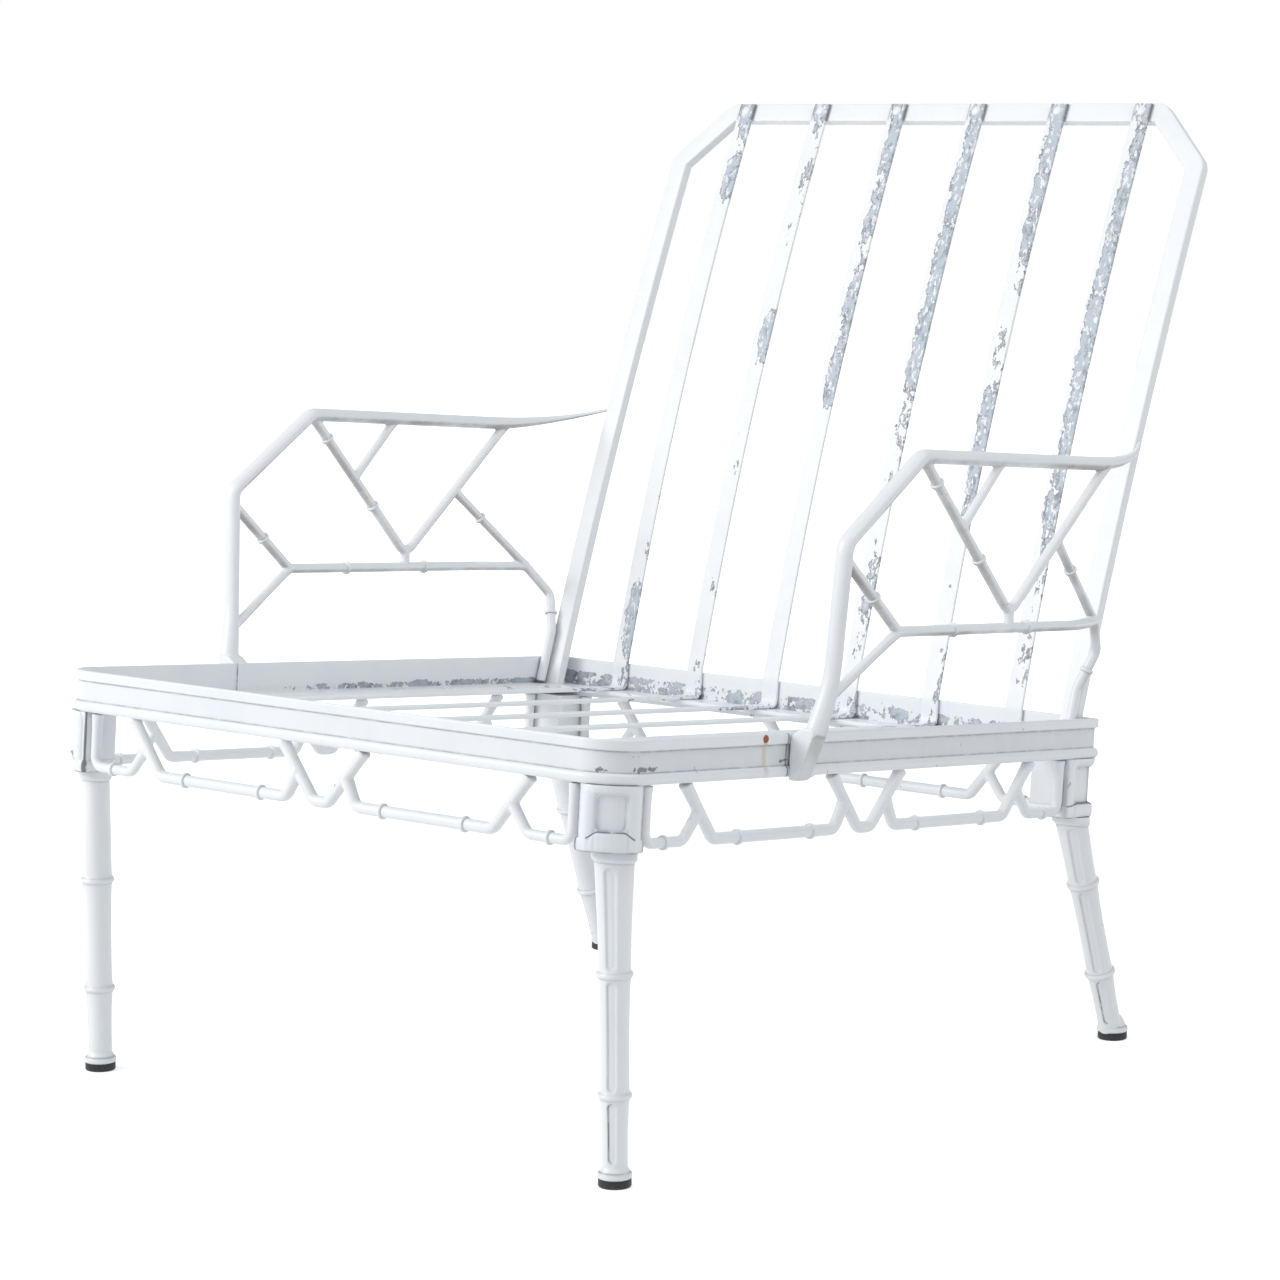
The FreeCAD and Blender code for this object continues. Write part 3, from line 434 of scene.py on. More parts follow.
def rail_profile():
    """Closed section of the rail as depth from the outer face and height from the top."""
    rails = settings("rails")
    bottom, ledge = -rails.height, -rails.ledge_drop
    under = ledge - rails.ledge_thick
    angle = np.linspace(0.35, math.pi - 0.35, 9)
    bead = np.stack([rails.panel - (rails.panel + rails.bead_proud) * np.sin(angle),
                     bottom + rails.bead / 2 + np.cos(angle) * rails.bead / 2], axis=1)
    upper = [(rails.wall, 0.0), (0.0, 0.0), (0.0, -rails.band), (rails.panel, -rails.band - rails.band_slope),
             (rails.panel, bottom + rails.bead)]
    lower = [(rails.panel * 1.6, bottom), (rails.base, bottom), (rails.base, under), (rails.ledge, under),
             (rails.ledge, ledge), (rails.wall, ledge)]
    upper_round = [0.0013, 0.0016, 0.0010, 0.0007, 0.0004]
    lower_round = [0.0005, 0.0005, 0.0006, 0.0008, 0.0008, 0.0010]
    return filled(rounded_outline([*upper, *bead, *lower], upper_round + [0.002] * len(bead) + lower_round), 0.0016)


def rail_shade_and_soiling(profile, aside):
    """Painted shade, with some soiling, on the rail's section: a bell round the two inner corners of the sunk
    field, and a thin painted shade all over that field, heavier where the rail faces aside."""
    rails = settings("rails")
    high, low = -rails.band - rails.band_slope, rails.bead - rails.height
    depth, level = profile.T
    apart = np.hypot(depth - rails.panel, np.minimum(np.abs(level - high), np.abs(level - low)))
    sunk = (np.abs(depth - rails.panel) < 0.3 * rails.panel) & (level < -rails.band) & (level > low)
    return np.maximum(fade(apart, 0.0010), (0.12 + 0.38 * np.abs(aside)) * sunk)


def inner_wear(profile, amount, rise):
    """Wear of the rail's inner wall, even from the ledge up to a share of the wall and fading above it."""
    rails = settings("rails")
    depth, up = profile[:, 0] / rails.wall, 1.0 + profile[:, 1] / rails.ledge_drop
    wall, ledge = smooth(0.7, 0.95, depth), 1.0 - 0.25 * smooth(1.2, 1.6, depth)
    return amount * wall * ledge * (1.0 - smooth(rise, rise + 0.35, up))


class CHAIR_OT_rails(bpy.types.Operator):
    """Moulded seat rails with sunk fields, beads and inner ledges"""

    bl_idname = "chair.rails"
    bl_label = "Seat rails"

    def front(self, rails, profile):
        """Profile carried along the front and round both corners, from seam to seam."""
        end, hub = rails.seam - rails.seam_gap / 2, HALF_WIDTH - rails.corner
        angle = np.linspace(0.0, math.pi / 2, 25)
        side = join([[end, end - 0.0008, end - 0.0018], np.linspace(end - 0.004, rails.corner, 40)[:-1]])
        flat = np.linspace(hub, 0.0, 60)[1:]
        x = join([0 * side + HALF_WIDTH, hub + rails.corner * np.cos(angle), flat])
        v = join([side, rails.corner - rails.corner * np.sin(angle), 0 * flat])
        nx = join([0 * side + 1, np.cos(angle), 0 * flat])
        nv = join([0 * side, -np.sin(angle), 0 * flat - 1])
        halves = ((x, -1), (v, 1), (nx, -1), (nv, 1))
        x, v, nx, nv = (join([half, sign * half[-2::-1]])[:, None] for half, sign in halves)
        depth, level = profile.T
        wear = inner_wear(profile, 0.40, 0.1) * np.ones_like(x)
        # Painted shadow in the seam by the arm's foot, added to the rail's painted shade lines.
        crease = np.maximum(rail_shade_and_soiling(profile, nx), 1.3 * fade(end - v, 0.0018))
        return skin(seat(x - nx * depth, v - nv * depth, level), wear=wear, crease=crease)

    def execute(self, context):
        """The front rail, then the straight ones, which their own depth mitres at the rear corners."""
        rails, profile = settings("rails"), rail_profile()
        depth, level = profile.T
        finish = painted_casting("rail_paint", rails=True)
        put("front_rail_casting", [self.front(rails, profile)], finish, "front_rail")
        start, t = rails.seam + rails.seam_gap / 2, np.linspace(0.0, 1.0, 80)[:, None]
        rings = seat(HALF_WIDTH - depth, start + t * (rails.depth - depth - start), level)
        wear = inner_wear(profile, 0.535, 0.12) * (0.75 + 0.25 * smooth(0.0, 0.45, t))
        put_pair("{}_side_rail", [skin(rings, wear=wear, crease=rail_shade_and_soiling(profile, 0 * t + 1))], finish)
        t = np.linspace(-1.0, 1.0, 140)[:, None]
        rings = seat(t * (HALF_WIDTH - depth), rails.depth - depth, level)
        wear = inner_wear(profile, 0.50, 0.45) * np.ones_like(t)
        rear = skin(rings, wear=wear, crease=rail_shade_and_soiling(profile, 0 * t))
        put("rear_rail_casting", [rear], finish, "rear_rail")
        return {"FINISHED"}


def block_skin(outline, wide, swing, rise, gaps, gap_shadow):
    """Block: a plan outline moved outwards by a rod, a recessed panel and a band, over a grid of heights.

    The outline's point at a distance from the face's middle moves along its normal by the half-round of
    the rod, which bends over the panel like an upturned U, less the panel's recess, plus the foot band's
    half-round, which arches up in the middle. Painted shade, with some soiling, lies in the panel's rim,
    beside the rod, over and under the band, and painted shadow lies at the gaps, the corners that touch the
    aprons' rods.
    """
    rails = settings("rails")
    around = resample(join([outline, outline[:1]]), 0.0005)[:-1]
    ahead = unit(np.roll(around, -1, 0) - np.roll(around, 1, 0))
    normal = np.stack([ahead[:, 1], -ahead[:, 0]], axis=1)
    middle = along(outline)[ARC_STEPS + ARC_STEPS // 2]
    aside = np.abs(np.arange(len(around)) * np.linalg.norm(around[1] - around[0]) - middle)
    top, bottom = -rails.height, -rails.height - rails.block
    w = np.linspace(bottom, top, 113)[:, None]
    niche_top, niche_bottom = top - rails.rod - 0.0005, bottom + rails.foot_band + rise
    niche, tall_half = (niche_top + niche_bottom) / 2, (niche_top - niche_bottom) / 2
    across = aside - wide / 2 + rails.niche_round
    tall = np.abs(w - niche) - tall_half + rails.niche_round
    outside = np.hypot(np.maximum(across, 0), np.maximum(tall, 0))
    edge = outside + np.minimum(np.maximum(across, tall), 0) - rails.niche_round
    offset = -rails.niche_depth * smooth(0.0, -0.0014, edge)
    inside, below, bend = swing - aside, top - w, rails.rod_bend
    bent = np.abs(np.hypot(bend - inside, bend - below) - bend)
    line = np.where(below > bend, np.abs(inside), np.abs(below))
    apart = np.where((inside < bend) & (below < bend), bent, line)
    rod = rails.rod_proud - rails.niche_depth + rails.niche_depth * bump(apart, 0.0, rails.rod)
    offset = np.where((apart < rails.rod) & (inside > -rails.rod), np.maximum(offset, rod), offset)
    arch = rise * (1.0 - smooth(wide * 0.36, wide * 0.74, aside))
    height = rails.foot_band + arch
    band = rails.band_proud * bump(w, bottom + height / 2, height / 2) ** 0.6
    offset = np.where(w < bottom + height, np.maximum(offset, band), offset)
    beside = np.linalg.norm(around[:, None] - np.array(gaps), axis=2).min(axis=1)
    # Painted shade lines round panel, rod and band, and painted shadow at the gaps.
    crease = np.maximum.reduce(np.broadcast_arrays(
        fade(edge + 0.0010, 0.0008) * (0.5 + 0.5 * smooth(niche, niche - tall_half, w)),
        0.5 * fade(apart - rails.rod, 0.0010) * (inside > 0),
        1.6 * fade(w - bottom - height, 0.0009) * (arch > 0.02 * rise),
        1.3 * fade(w - bottom, 0.0013), gap_shadow * fade(beside, 0.0019)))
    soft = 0.0009
    inset = soft * (1 - bump(np.minimum(w - bottom, soft), soft, soft))
    plan = around + normal * (offset - inset)[..., None]
    return skin(seat(plan[..., 0], plan[..., 1], w), crease=crease)


class CHAIR_OT_blocks(bpy.types.Operator):
    """Corner blocks with a recessed panel between half-round rods and an arched foot band"""

    bl_idname = "chair.blocks"
    bl_label = "Corner blocks"

    def execute(self, context):
        rails, finish = settings("rails"), painted_casting("block_paint")
        edge, lap = 0.0015, rails.rod * 0.95
        outer, near = HALF_WIDTH - rails.block_inset, rails.block_inset
        inner, far = outer - rails.front_block, near + rails.front_block
        plan = rounded_outline([(inner, near), (outer, near), (outer, far), (inner, far)],
                               [edge, rails.front_round, edge, edge], 0.9)
        front = block_skin(plan, rails.niche_width, rails.niche_width / 2 + lap, rails.arch,
                           [(outer, far), (inner, near)], 1.9)
        put_pair("front_{}_block", [front], finish)
        back = rails.depth - rails.block_inset
        inner, near = outer - rails.rear_block, back - rails.rear_block
        plan = rounded_outline([(outer, near), (outer, back), (inner, back), (inner, near)], [edge] * 4)
        swing = rails.rear_block - lap
        rear = block_skin(plan, 2 * (swing - lap), swing, rails.rear_arch, [(outer, near), (inner, back)], 0.9)
        put_pair("rear_{}_block", [rear], finish)
        return {"FINISHED"}


class CHAIR_OT_legs(bpy.types.Operator):
    """Bamboo legs with node rings, an oval top under its collar and a flared foot"""

    bl_idname = "chair.legs"
    bl_label = "Legs"

    def shaft(self, head, rake, rings, turned):
        """Oval tube up the leg's axis: half axes run from the foot's radius through waisted joints, swell
        at the node rings and grow into the top oval; its last ring lies in the block's underside."""
        legs, rails = settings("legs", "rails")
        axis = np.array([0.0, -math.sin(rake), math.cos(rake)])
        across = np.array([0.0, math.cos(rake), math.sin(rake)])
        down = np.array([0.0, math.sin(rails.tilt), math.cos(rails.tilt)])
        length = head[2] / math.cos(rake)
        (low, high), collar = rings, length - legs.collar
        dense = length - legs.collar * 1.6
        s = join([np.linspace(legs.glide, dense, 210), np.linspace(dense, length, 30)[1:]])
        knots = [legs.glide, low, high]
        base = np.interp(s, knots, [legs.low, legs.middle, legs.high])
        for a, b in zip(knots, knots[1:]):
            t = np.clip((s - a) / (b - a), 0, 1)
            base -= legs.waist * 4 * t * (1 - t)
        grow = smooth(high, length + legs.oval_long, s)
        extra = legs.collar_proud * np.sqrt(smooth(collar - 0.0006, collar + 0.003, s))
        # Painted shade lines under the collar and at the edges of each node ring.
        crease = fade(s - collar + 0.0008, 0.0009)
        for ring in rings:
            extra += legs.ring_proud * bump(s, ring, legs.ring / 2) + 0.0005 * fade(s - ring, 0.006)
            crease += fade(np.abs(s - ring) - legs.ring / 2, 0.0008)
        ovals = (legs.oval_long, legs.oval_short)
        long_half, short_half = ((base + (oval / 2 - base) * grow + extra)[:, None] for oval in ovals)
        angle = circle(128)
        facing = angle + turned - legs.flute_turn
        facing = np.arctan2(np.sin(facing), np.cos(facing)) * legs.middle
        flute, line = np.zeros((2, len(s), len(angle)))
        for a, b, soiling_and_shade in ((legs.glide + 0.009, low, 1.2), (low, high, 0.8), (high, collar, 0.6)):
            reach = np.minimum(s - a, b - s)[:, None] - legs.flute_end
            edge = np.where(reach < legs.flute_half, np.hypot(facing, legs.flute_half - reach), np.abs(facing))
            flute += legs.flute * smooth(legs.flute_half, legs.flute_half - 0.0028, edge) * (reach > 0)
            # Painted shadow along the flute's walls, heavier on the wall that the light leaves in shadow.
            wall = fade(edge - legs.flute_half + 0.0014, 0.0010) * (reach > 0)
            line += soiling_and_shade * wall * (0.3 + 0.7 * (facing < 0))
        a, c = (long_half - flute) * np.cos(angle), (short_half - flute) * np.sin(angle)
        a, c = a * math.cos(turned) - c * math.sin(turned), a * math.sin(turned) + c * math.cos(turned)
        trim = -c[-1] * (across @ down) / (axis @ down)
        level = s[:, None] + trim * smooth(high, length, s)[:, None] - length
        points = head + level[..., None] * axis + a[..., None] * X_WAY + c[..., None] * across
        return skin(points, crease=np.maximum(0.8 * crease[:, None], line))

    def flared_foot(self, head, rake):
        """Surface of revolution about the upright through the foot: lip, bulge and cone into the shaft."""
        legs, angle = settings("legs"), circle(64)
        middle = head + np.array([0.0, head[2] * math.tan(rake), -head[2]])
        z = legs.glide + legs.foot_height * np.array([0.0, 0.0, 0.06, 0.2, 0.4, 0.52, 0.58, 0.75, 1.05, 1.5])
        r = legs.foot + np.array([-6.0, -0.8, 0.0, 0.3, 0.2, -0.4, -1.2, -2.4, -3.6, -6.2]) / 1000
        ring = np.stack([np.cos(angle), np.sin(angle), 0 * angle], axis=1)
        # Painted shade line in the groove above the foot's bulge.
        crease = np.repeat(fade(z - z[6], 0.0012), len(angle))
        return skin(middle + r[:, None, None] * ring + z[:, None, None] * Z_WAY, crease=crease)

    def execute(self, context):
        legs, rails = settings("legs", "rails")
        finish, under = painted_casting("leg_paint"), -rails.height - rails.block
        front = seat(HALF_WIDTH - legs.front_side, legs.front_set, under)
        rear = seat(HALF_WIDTH - legs.rear_side, rails.depth - legs.rear_set, under)
        for end, head, rake, rings, turned in (
                ("front", front, 0.0, (legs.front_low, legs.front_high), math.pi / 4),
                ("rear", rear, legs.rake, (legs.rear_low, legs.rear_high), 0.0)):
            put_pair(end + "_{}_leg", [self.shaft(head, rake, rings, turned), self.flared_foot(head, rake)], finish)
        return {"FINISHED"}


def bamboo(points, radius, hint, bend, flared_end=True):
    """Rod along a rounded path: radius + flare * exp(-distance / flare run) where it joins others."""
    fret = settings("fretwork")
    path = rounded_path(points, bend, PATH_STEP)
    reach = along(path)
    ends = np.exp(-reach / fret.flare_run) + np.exp((reach - reach[-1]) / fret.flare_run) * flared_end
    thick = radius + fret.flare * ends
    return skin(tube(path, thick, thick, hint))


def bamboo_node(start, end, part, radius, hint):
    """Ring at a share of a straight run: radius + proud * root of (1 - |2 s / length| cubed)."""
    fret, sides, root = settings("fretwork"), 36, 0.0005
    s = np.linspace(-0.5, 0.5, 15)
    path = start + (end - start) * part + (s * fret.ring)[:, None] * unit(end - start)
    thick = radius - root + (fret.ring_proud + root) * np.sqrt(1.0 - np.abs(2 * s) ** 3)
    # Painted shade where a node ring meets its rod.
    crease = np.repeat(0.8 * fade(0.5 - np.abs(s), 0.09), sides)
    return skin(tube(path, thick, thick, hint, sides), crease=crease)


def cast(node, shells, rings, finish):
    """Put overlapping rods down as one casting: fused, with softened joints and crisp node rings."""
    piece = put(f"{node}_casting", shells, finish, node)
    fuse = piece.modifiers.new("Fuse", "REMESH")
    fuse.mode, fuse.voxel_size, fuse.use_smooth_shade = "VOXEL", VOXEL, True
    soften = piece.modifiers.new("Soften", "SMOOTH")
    soften.factor, soften.iterations = 0.5, settings("fretwork").soften
    put(f"{node}_nodes", rings, finish)


class CHAIR_OT_aprons(bpy.types.Operator):
    """Fretwork aprons under the four rails"""

    bl_idname = "chair.aprons"
    bl_label = "Aprons"

    def rods(self, half, place, hint):
        """Rods of one apron on its own length s and height w, carried into the chair by place(s, w)."""
        fret, rails = settings("fretwork", "rails")
        top = -rails.height - fret.apron_gap
        bar = -rails.height - fret.apron + fret.apron_rod
        root, middle = top - fret.apron_rod * 0.1, (top + bar) / 2
        run = fret.apron_slope * (top - bar)
        end = half - fret.apron_gap - fret.apron_rod
        outer, inner, valley = end - fret.apron_outer, fret.apron_inner, fret.apron_valley
        middle_line = [place(s, w) for s, w in ((-inner, root), (-valley, bar), (valley, bar), (inner, root))]
        shells, rings = [bamboo(middle_line, fret.apron_rod, hint, fret.bend)], []
        corner = ((end, root), (end, bar), (outer, bar), (outer - run / 2, middle))
        long_bar = ((outer, root), (outer - run, bar), (fret.apron_bar_end, bar), ((inner + valley) / 2, middle))
        for line, radius, parts in ((corner, fret.apron_branch, [0.5]), (long_bar, fret.apron_rod, [0.2, 0.8])):
            for side in (-1, 1):
                points = [place(side * s, w) for s, w in line]
                shells.append(bamboo(points, radius, hint, fret.bend))
                rings += [bamboo_node(points[1], points[2], part, radius, hint) for part in parts]
        return shells, rings

    def execute(self, context):
        fret, rails = settings("fretwork", "rails")
        finish, inset = painted_casting("apron_paint"), fret.apron_inset
        front = rails.block_inset + rails.front_block + rails.block_gap
        rear = rails.block_inset + rails.rear_block
        middle, side = (rails.depth - rear + front) / 2, (rails.depth - rear - front) / 2
        plans = {"front": (HALF_WIDTH - front, lambda s, w: seat(s, inset, w), Y_WAY),
                 "rear": (HALF_WIDTH - rear, lambda s, w: seat(s, rails.depth - inset, w), Y_WAY),
                 "right": (side, lambda s, w: seat(HALF_WIDTH - inset, middle + s, w), X_WAY),
                 "left": (side, lambda s, w: seat(inset - HALF_WIDTH, middle + s, w), X_WAY)}
        for name, plan in plans.items():
            cast(f"{name}_apron", *self.rods(*plan), finish)
        return {"FINISHED"}


def back_point(distance, forward):
    """Point of the back's gentle curve: an arc whose lean runs from the lower to the upper lean."""
    back, rails = settings("back", "rails")
    radius = back.length / (back.lean_high - back.lean_low)
    foot = seat(0.0, rails.depth - back.setback, -rails.ledge_drop)
    distance, forward = np.broadcast_arrays(np.asarray(distance, float), forward)
    lean = back.lean_low + distance / radius
    y = foot[1] + radius * (math.cos(back.lean_low) - np.cos(lean)) - forward * np.cos(lean)
    z = foot[2] + radius * (np.sin(lean) - math.sin(back.lean_low)) + forward * np.sin(lean)
    return np.stack([np.zeros_like(y), y, z], axis=-1)


def back_outer():
    """Half width over the back frame."""
    return HALF_WIDTH - settings("rails").wall - settings("back").side_gap


def foot_start():
    """Front of an arm's foot on the rail, just behind the seam."""
    rails = settings("rails")
    return rails.seam + rails.seam_gap / 2 + settings("fretwork").foot_gap


def arm_points():
    """Named points on the centre lines of the right arm."""
    fret, rails, back = settings("fretwork", "rails", "back")
    front = seat(0.0, 0.0, 0.0)[1]

    def at(y, level, inward=0.0):
        return np.array([HALF_WIDTH + fret.standoff - inward, front + y, rails.deck + level])

    def between(start, end, part):
        return start + (end - start) * part

    def on_back(distance, x):
        return back_point(distance, fret.rod + 0.0012) + X_WAY * x

    p, inside = SimpleNamespace(), HALF_WIDTH - 0.0105
    p.foot = seat(HALF_WIDTH + fret.foot_reach - fret.section_width / 2, foot_start() + fret.foot_length / 2, 0.0)
    post = p.foot[1] - front + 0.022
    p.ankle = at(post - 0.010, 0.024, 0.0065)
    p.strut = between(p.foot, p.ankle, 0.65)
    p.brace = at(post, fret.arm_brace)
    p.bend = at(post, fret.arm_post)
    p.corner = at(post + 0.108, fret.arm_corner)
    p.sweep = at(rails.depth - 0.075, fret.arm_sweep)
    p.tip = back_point(fret.arm_tip, -back.bar_depth / 2) + X_WAY * back_outer()
    p.bar_front = at(post + 0.075, fret.bar_front)
    p.bar_turn = at(rails.depth - 0.097, fret.bar_rear)
    p.fork = at(rails.depth - 0.036, 0.037, 0.0185)
    p.elbow = on_back(0.093, (p.fork[0] + inside) / 2)
    p.shin = on_back(0.055, inside)
    p.heel = on_back(0.0002, inside)
    valley_y = between(p.corner, p.sweep, 0.516)[1]
    p.landing = between(p.bar_front, p.bar_turn, (valley_y - p.bar_front[1]) / (p.bar_turn[1] - p.bar_front[1]))
    p.valley = p.landing + Z_WAY * 0.013
    p.branch = between(p.corner, p.valley, 0.45)
    p.branch_top = between(p.corner, p.sweep, 0.473)
    p.rise_top = p.sweep + unit(p.sweep - p.corner) * 0.030
    p.rise = between(p.valley, p.rise_top, 0.48)
    return p


class CHAIR_OT_arms(bpy.types.Operator):
    """Fretwork arms: oval rail, foot and bamboo rods, fused into one casting each"""

    bl_idname = "chair.arms"
    bl_label = "Arms"

    def rail(self, p):
        """Oval bar from the foot up the post and along the top, tapering on an arc that leaves the top rail
        tangentially and ends at the back frame."""
        fret = settings("fretwork")
        bends = [arc_corner(p.foot, p.ankle, p.bend, 0.25), arc_corner(p.ankle, p.bend, p.corner, 0.016),
                 arc_corner(p.bend, p.corner, p.sweep, 0.014)]
        upper = resample(join([p.foot[None], *bends, p.sweep[None]]), PATH_STEP)
        curl = tangent_arc(p.sweep, unit(p.sweep - p.corner), p.tip, 60)
        path = resample(join([upper, curl]), PATH_STEP)
        reach = along(path)
        taper = smooth(along(upper)[-1], reach[-1], reach)
        swell = 1.0 - smooth(0.0, 0.055, reach)
        wide = fret.section_width + (fret.tip_width - fret.section_width) * taper + 0.002 * swell
        high = fret.section_height + (fret.tip_height - fret.section_height) * taper + 0.0055 * swell
        return skin(tube(path, high / 2, wide / 2, X_WAY, 40))

    def foot(self):
        """Wedge against the side rail: an outline across the chair carried along the rail."""
        fret = settings("fretwork")
        low, high, reach, length = -settings("rails").height - 0.003, 0.006, fret.foot_reach, fret.foot_length
        outline = rounded_outline([(0.0, low), (0.0095, low), (reach, high), (reach - fret.section_width, high),
                                   (0.0, -0.002)], [0.001, 0.005, 0.005, 0.004, 0.001])
        s = join([[0.0, 0.0006], np.linspace(0.0016, length - 0.0016, 9), [length - 0.0006, length]])[:, None]
        draw = 0.0011 * (1 - bump(s, length / 2, 0.00985) ** 0.35)
        centre = outline.mean(0)
        plan = centre + (outline - centre) * (1 - draw[..., None] / 0.012)
        return skin(seat(HALF_WIDTH + np.maximum(plan[..., 0], 0.0001), foot_start() + s, plan[..., 1]))

    def execute(self, context):
        fret, p = settings("fretwork"), arm_points()
        finish = painted_casting("arm_paint", shaded_and_soiled_below=True)
        lower = [p.brace, p.bar_front, p.bar_turn, p.fork, p.elbow, p.shin, p.heel]
        rods = [([p.corner, p.valley, p.rise_top], fret.rod, True), (lower, fret.rod, False),
                ([p.branch, p.branch_top], fret.branch, True), ([p.bar_front, p.strut], fret.branch, True),
                ([p.rise, p.fork], fret.branch, True), ([p.valley + Z_WAY * 0.003, p.landing], fret.branch, True)]
        shells = [self.foot(), self.rail(p)]
        shells += [bamboo(points, radius, X_WAY, fret.arm_bend, flared) for points, radius, flared in rods]
        runs = [(p.corner, p.valley, 0.17, fret.rod), (p.corner, p.valley, 0.65, fret.rod),
                (p.brace, p.bar_front, 0.53, fret.rod), (p.bar_front, p.bar_turn, 0.30, fret.rod),
                (p.bar_front, p.bar_turn, 0.72, fret.rod), (p.rise, p.fork, 0.36, fret.branch),
                (p.elbow, p.shin, 0.5, fret.rod)]
        rings = [bamboo_node(*run, X_WAY) for run in runs]
        cast("right_arm", shells, rings, finish)
        cast("left_arm", mirrored(shells), mirrored(rings), finish)
        return {"FINISHED"}


class CHAIR_OT_back_frame(bpy.types.Operator):
    """Back frame: one flat bar bent into an arch with cut-off upper corners"""

    bl_idname = "chair.back_frame"
    bl_label = "Back frame"

    def execute(self, context):
        back = settings("back")
        half, deep = back.bar_width / 2, -back.bar_depth
        side, top = back_outer() - half, back.length - half
        cut = back.chamfer - half * (2 - math.sqrt(2))
        plan = rounded_path([(-side, 0.0), (-side, top - cut), (-side + cut, top), (side - cut, top),
                             (side, top - cut), (side, 0.0)], back.bend, 0.004)
        ahead = unit(np.gradient(plan, axis=0))
        across = np.stack([ahead[:, 1], -ahead[:, 0]], axis=1)
        section = rounded_outline([(-half, 0.0), (half, 0.0), (half, deep), (-half, deep)], [back.bar_edge] * 4)
        spread = plan[:, None] + across[:, None] * section[None, :, :1]
        rings = back_point(spread[..., 1], section[:, 1]) + spread[..., :1] * X_WAY
        peeled = smooth(0.1, 0.3, plan[:, :1]) * smooth(0.35, 0.9, plan[:, 1:])
        wear = (0.10 + 0.26 * peeled) * np.ones(len(section))
        put("back_frame_bar", [skin(rings, wear=wear)], painted_casting("back_frame_paint"), "back_frame")
        return {"FINISHED"}


def slat_x(number):
    """A slat's place across the chair, counted from its left."""
    return (number - (SLATS[0] + SLATS[-1]) / 2) * settings("back").pitch


def slat_line():
    """Middle line of a slat: along the ledges, up the rear rail and up a tangent arc to the frame's top."""
    back, rails = settings("back", "rails")
    half = back.thick / 2
    stand, bed = rails.depth - rails.wall - half - back.rail_gap, half - rails.ledge_drop
    knee = seat(0.0, stand, 0.0)
    ahead = np.array([0.0, math.sin(back.slat_lean), math.cos(back.slat_lean)])
    shin = knee + ahead * back.knee
    lower = [seat(0.0, rails.wall + back.front_clear, bed), seat(0.0, stand, bed), knee, shin]
    end = back_point(back.length - back.top_clear, half + back.frame_gap)
    return join([rounded_path(lower, back.slat_bend, 0.003), tangent_arc(shin, ahead, end, 160)])


# Wear up the back of each slat, as (height, wear) knots in hundredths
SLAT_WEAR = {
    1: [(0, 50), (6, 42), (10, 58), (17, 60), (20, 40), (50, 36), (80, 32), (84, 57), (90, 56), (92, 44), (95, 58)],
    2: [(0, 50), (5, 38), (54, 34), (58, 57), (63, 56), (66, 34), (76, 42), (93, 47), (96, 56)],
    3: [(0, 48), (5, 36), (48, 36), (51, 60), (60, 56), (68, 52), (80, 52), (88, 58), (100, 60)],
    4: [(0, 50), (8, 42), (22, 54), (30, 40), (50, 47), (54, 58), (62, 66), (74, 60), (90, 62), (100, 56)],
    5: [(0, 42), (30, 40), (42, 62), (50, 64), (56, 48), (72, 47), (79, 56), (86, 60), (93, 62), (100, 62)],
    6: [(0, 42), (25, 46), (36, 60), (60, 64), (80, 58), (92, 56), (95, 44)],
}


class CHAIR_OT_slats(bpy.types.Operator):
    """Flat slats bent from seat to back, with the wear of each"""

    bl_idname = "chair.slats"
    bl_label = "Slats"

    def section(self, half, thick, edge):
        """Flat bar's rounded section, with extra points across its flats."""
        arcs = rounded_outline([(-half, -thick), (half, -thick), (half, thick), (-half, thick)], [edge] * 4)
        low_left, low_right, high_right, high_left = arcs.reshape(4, ARC_STEPS, 2)
        across = np.linspace(edge - half, half - edge, 8)
        low, high = (np.stack([across, 0 * across + level], axis=1) for level in (-thick, thick))
        return join([low, low_right, high_right, high[::-1], high_left, low_left])

    def execute(self, context):
        back, finish = settings("back"), peeling_slat()
        line = resample(slat_line(), 0.004)
        reach = along(line)
        lift = unit(np.cross(X_WAY, unit(np.gradient(line, axis=0))))
        half = back.width / 2
        across, up = self.section(half, back.thick / 2, back.slat_edge).T
        left = reach[-1] - reach[:, None]
        # Painted shadow outline of each slat's end on the frame's bar: along its sides and across at the bar's lower
        # edge.
        on_bar = smooth(back.bar_width, back.bar_width - 0.001, left)
        foot = fade(left - back.bar_width + back.top_clear, 0.0012)
        tab_shadow = np.maximum(on_bar * fade(half - np.abs(across), 0.0014), 0.7 * foot)
        climb = np.clip((reach - reach[-1] + back.length) / back.length, 0, 1)
        on_seat = 0.30 + 0.16 * smooth(0.72, 0.98, reach / (reach[-1] - back.length))
        at_top = 0.78 * smooth(0.945, 0.985, climb)
        side = 0.55 + 0.45 * smooth(-half * 1.1, half * 0.1, across)
        for number in SLATS:
            rings = line[:, None] + (across + slat_x(number))[:, None] * X_WAY + up[:, None] * lift[:, None]
            on_back = np.interp(climb, *np.array(SLAT_WEAR[number]).T / 100)
            bare = np.maximum(np.where(climb > 0, on_back, on_seat), at_top)
            grain = np.stack(np.broadcast_arrays(across + number, reach[:, None], up), axis=-1)
            shell = skin(rings, wear=bare[:, None] * side, grain=grain, crease=tab_shadow)
            put(f"slat_{number}_bar", [shell], finish, f"slat_{number}", slot="slat")
        return {"FINISHED"}


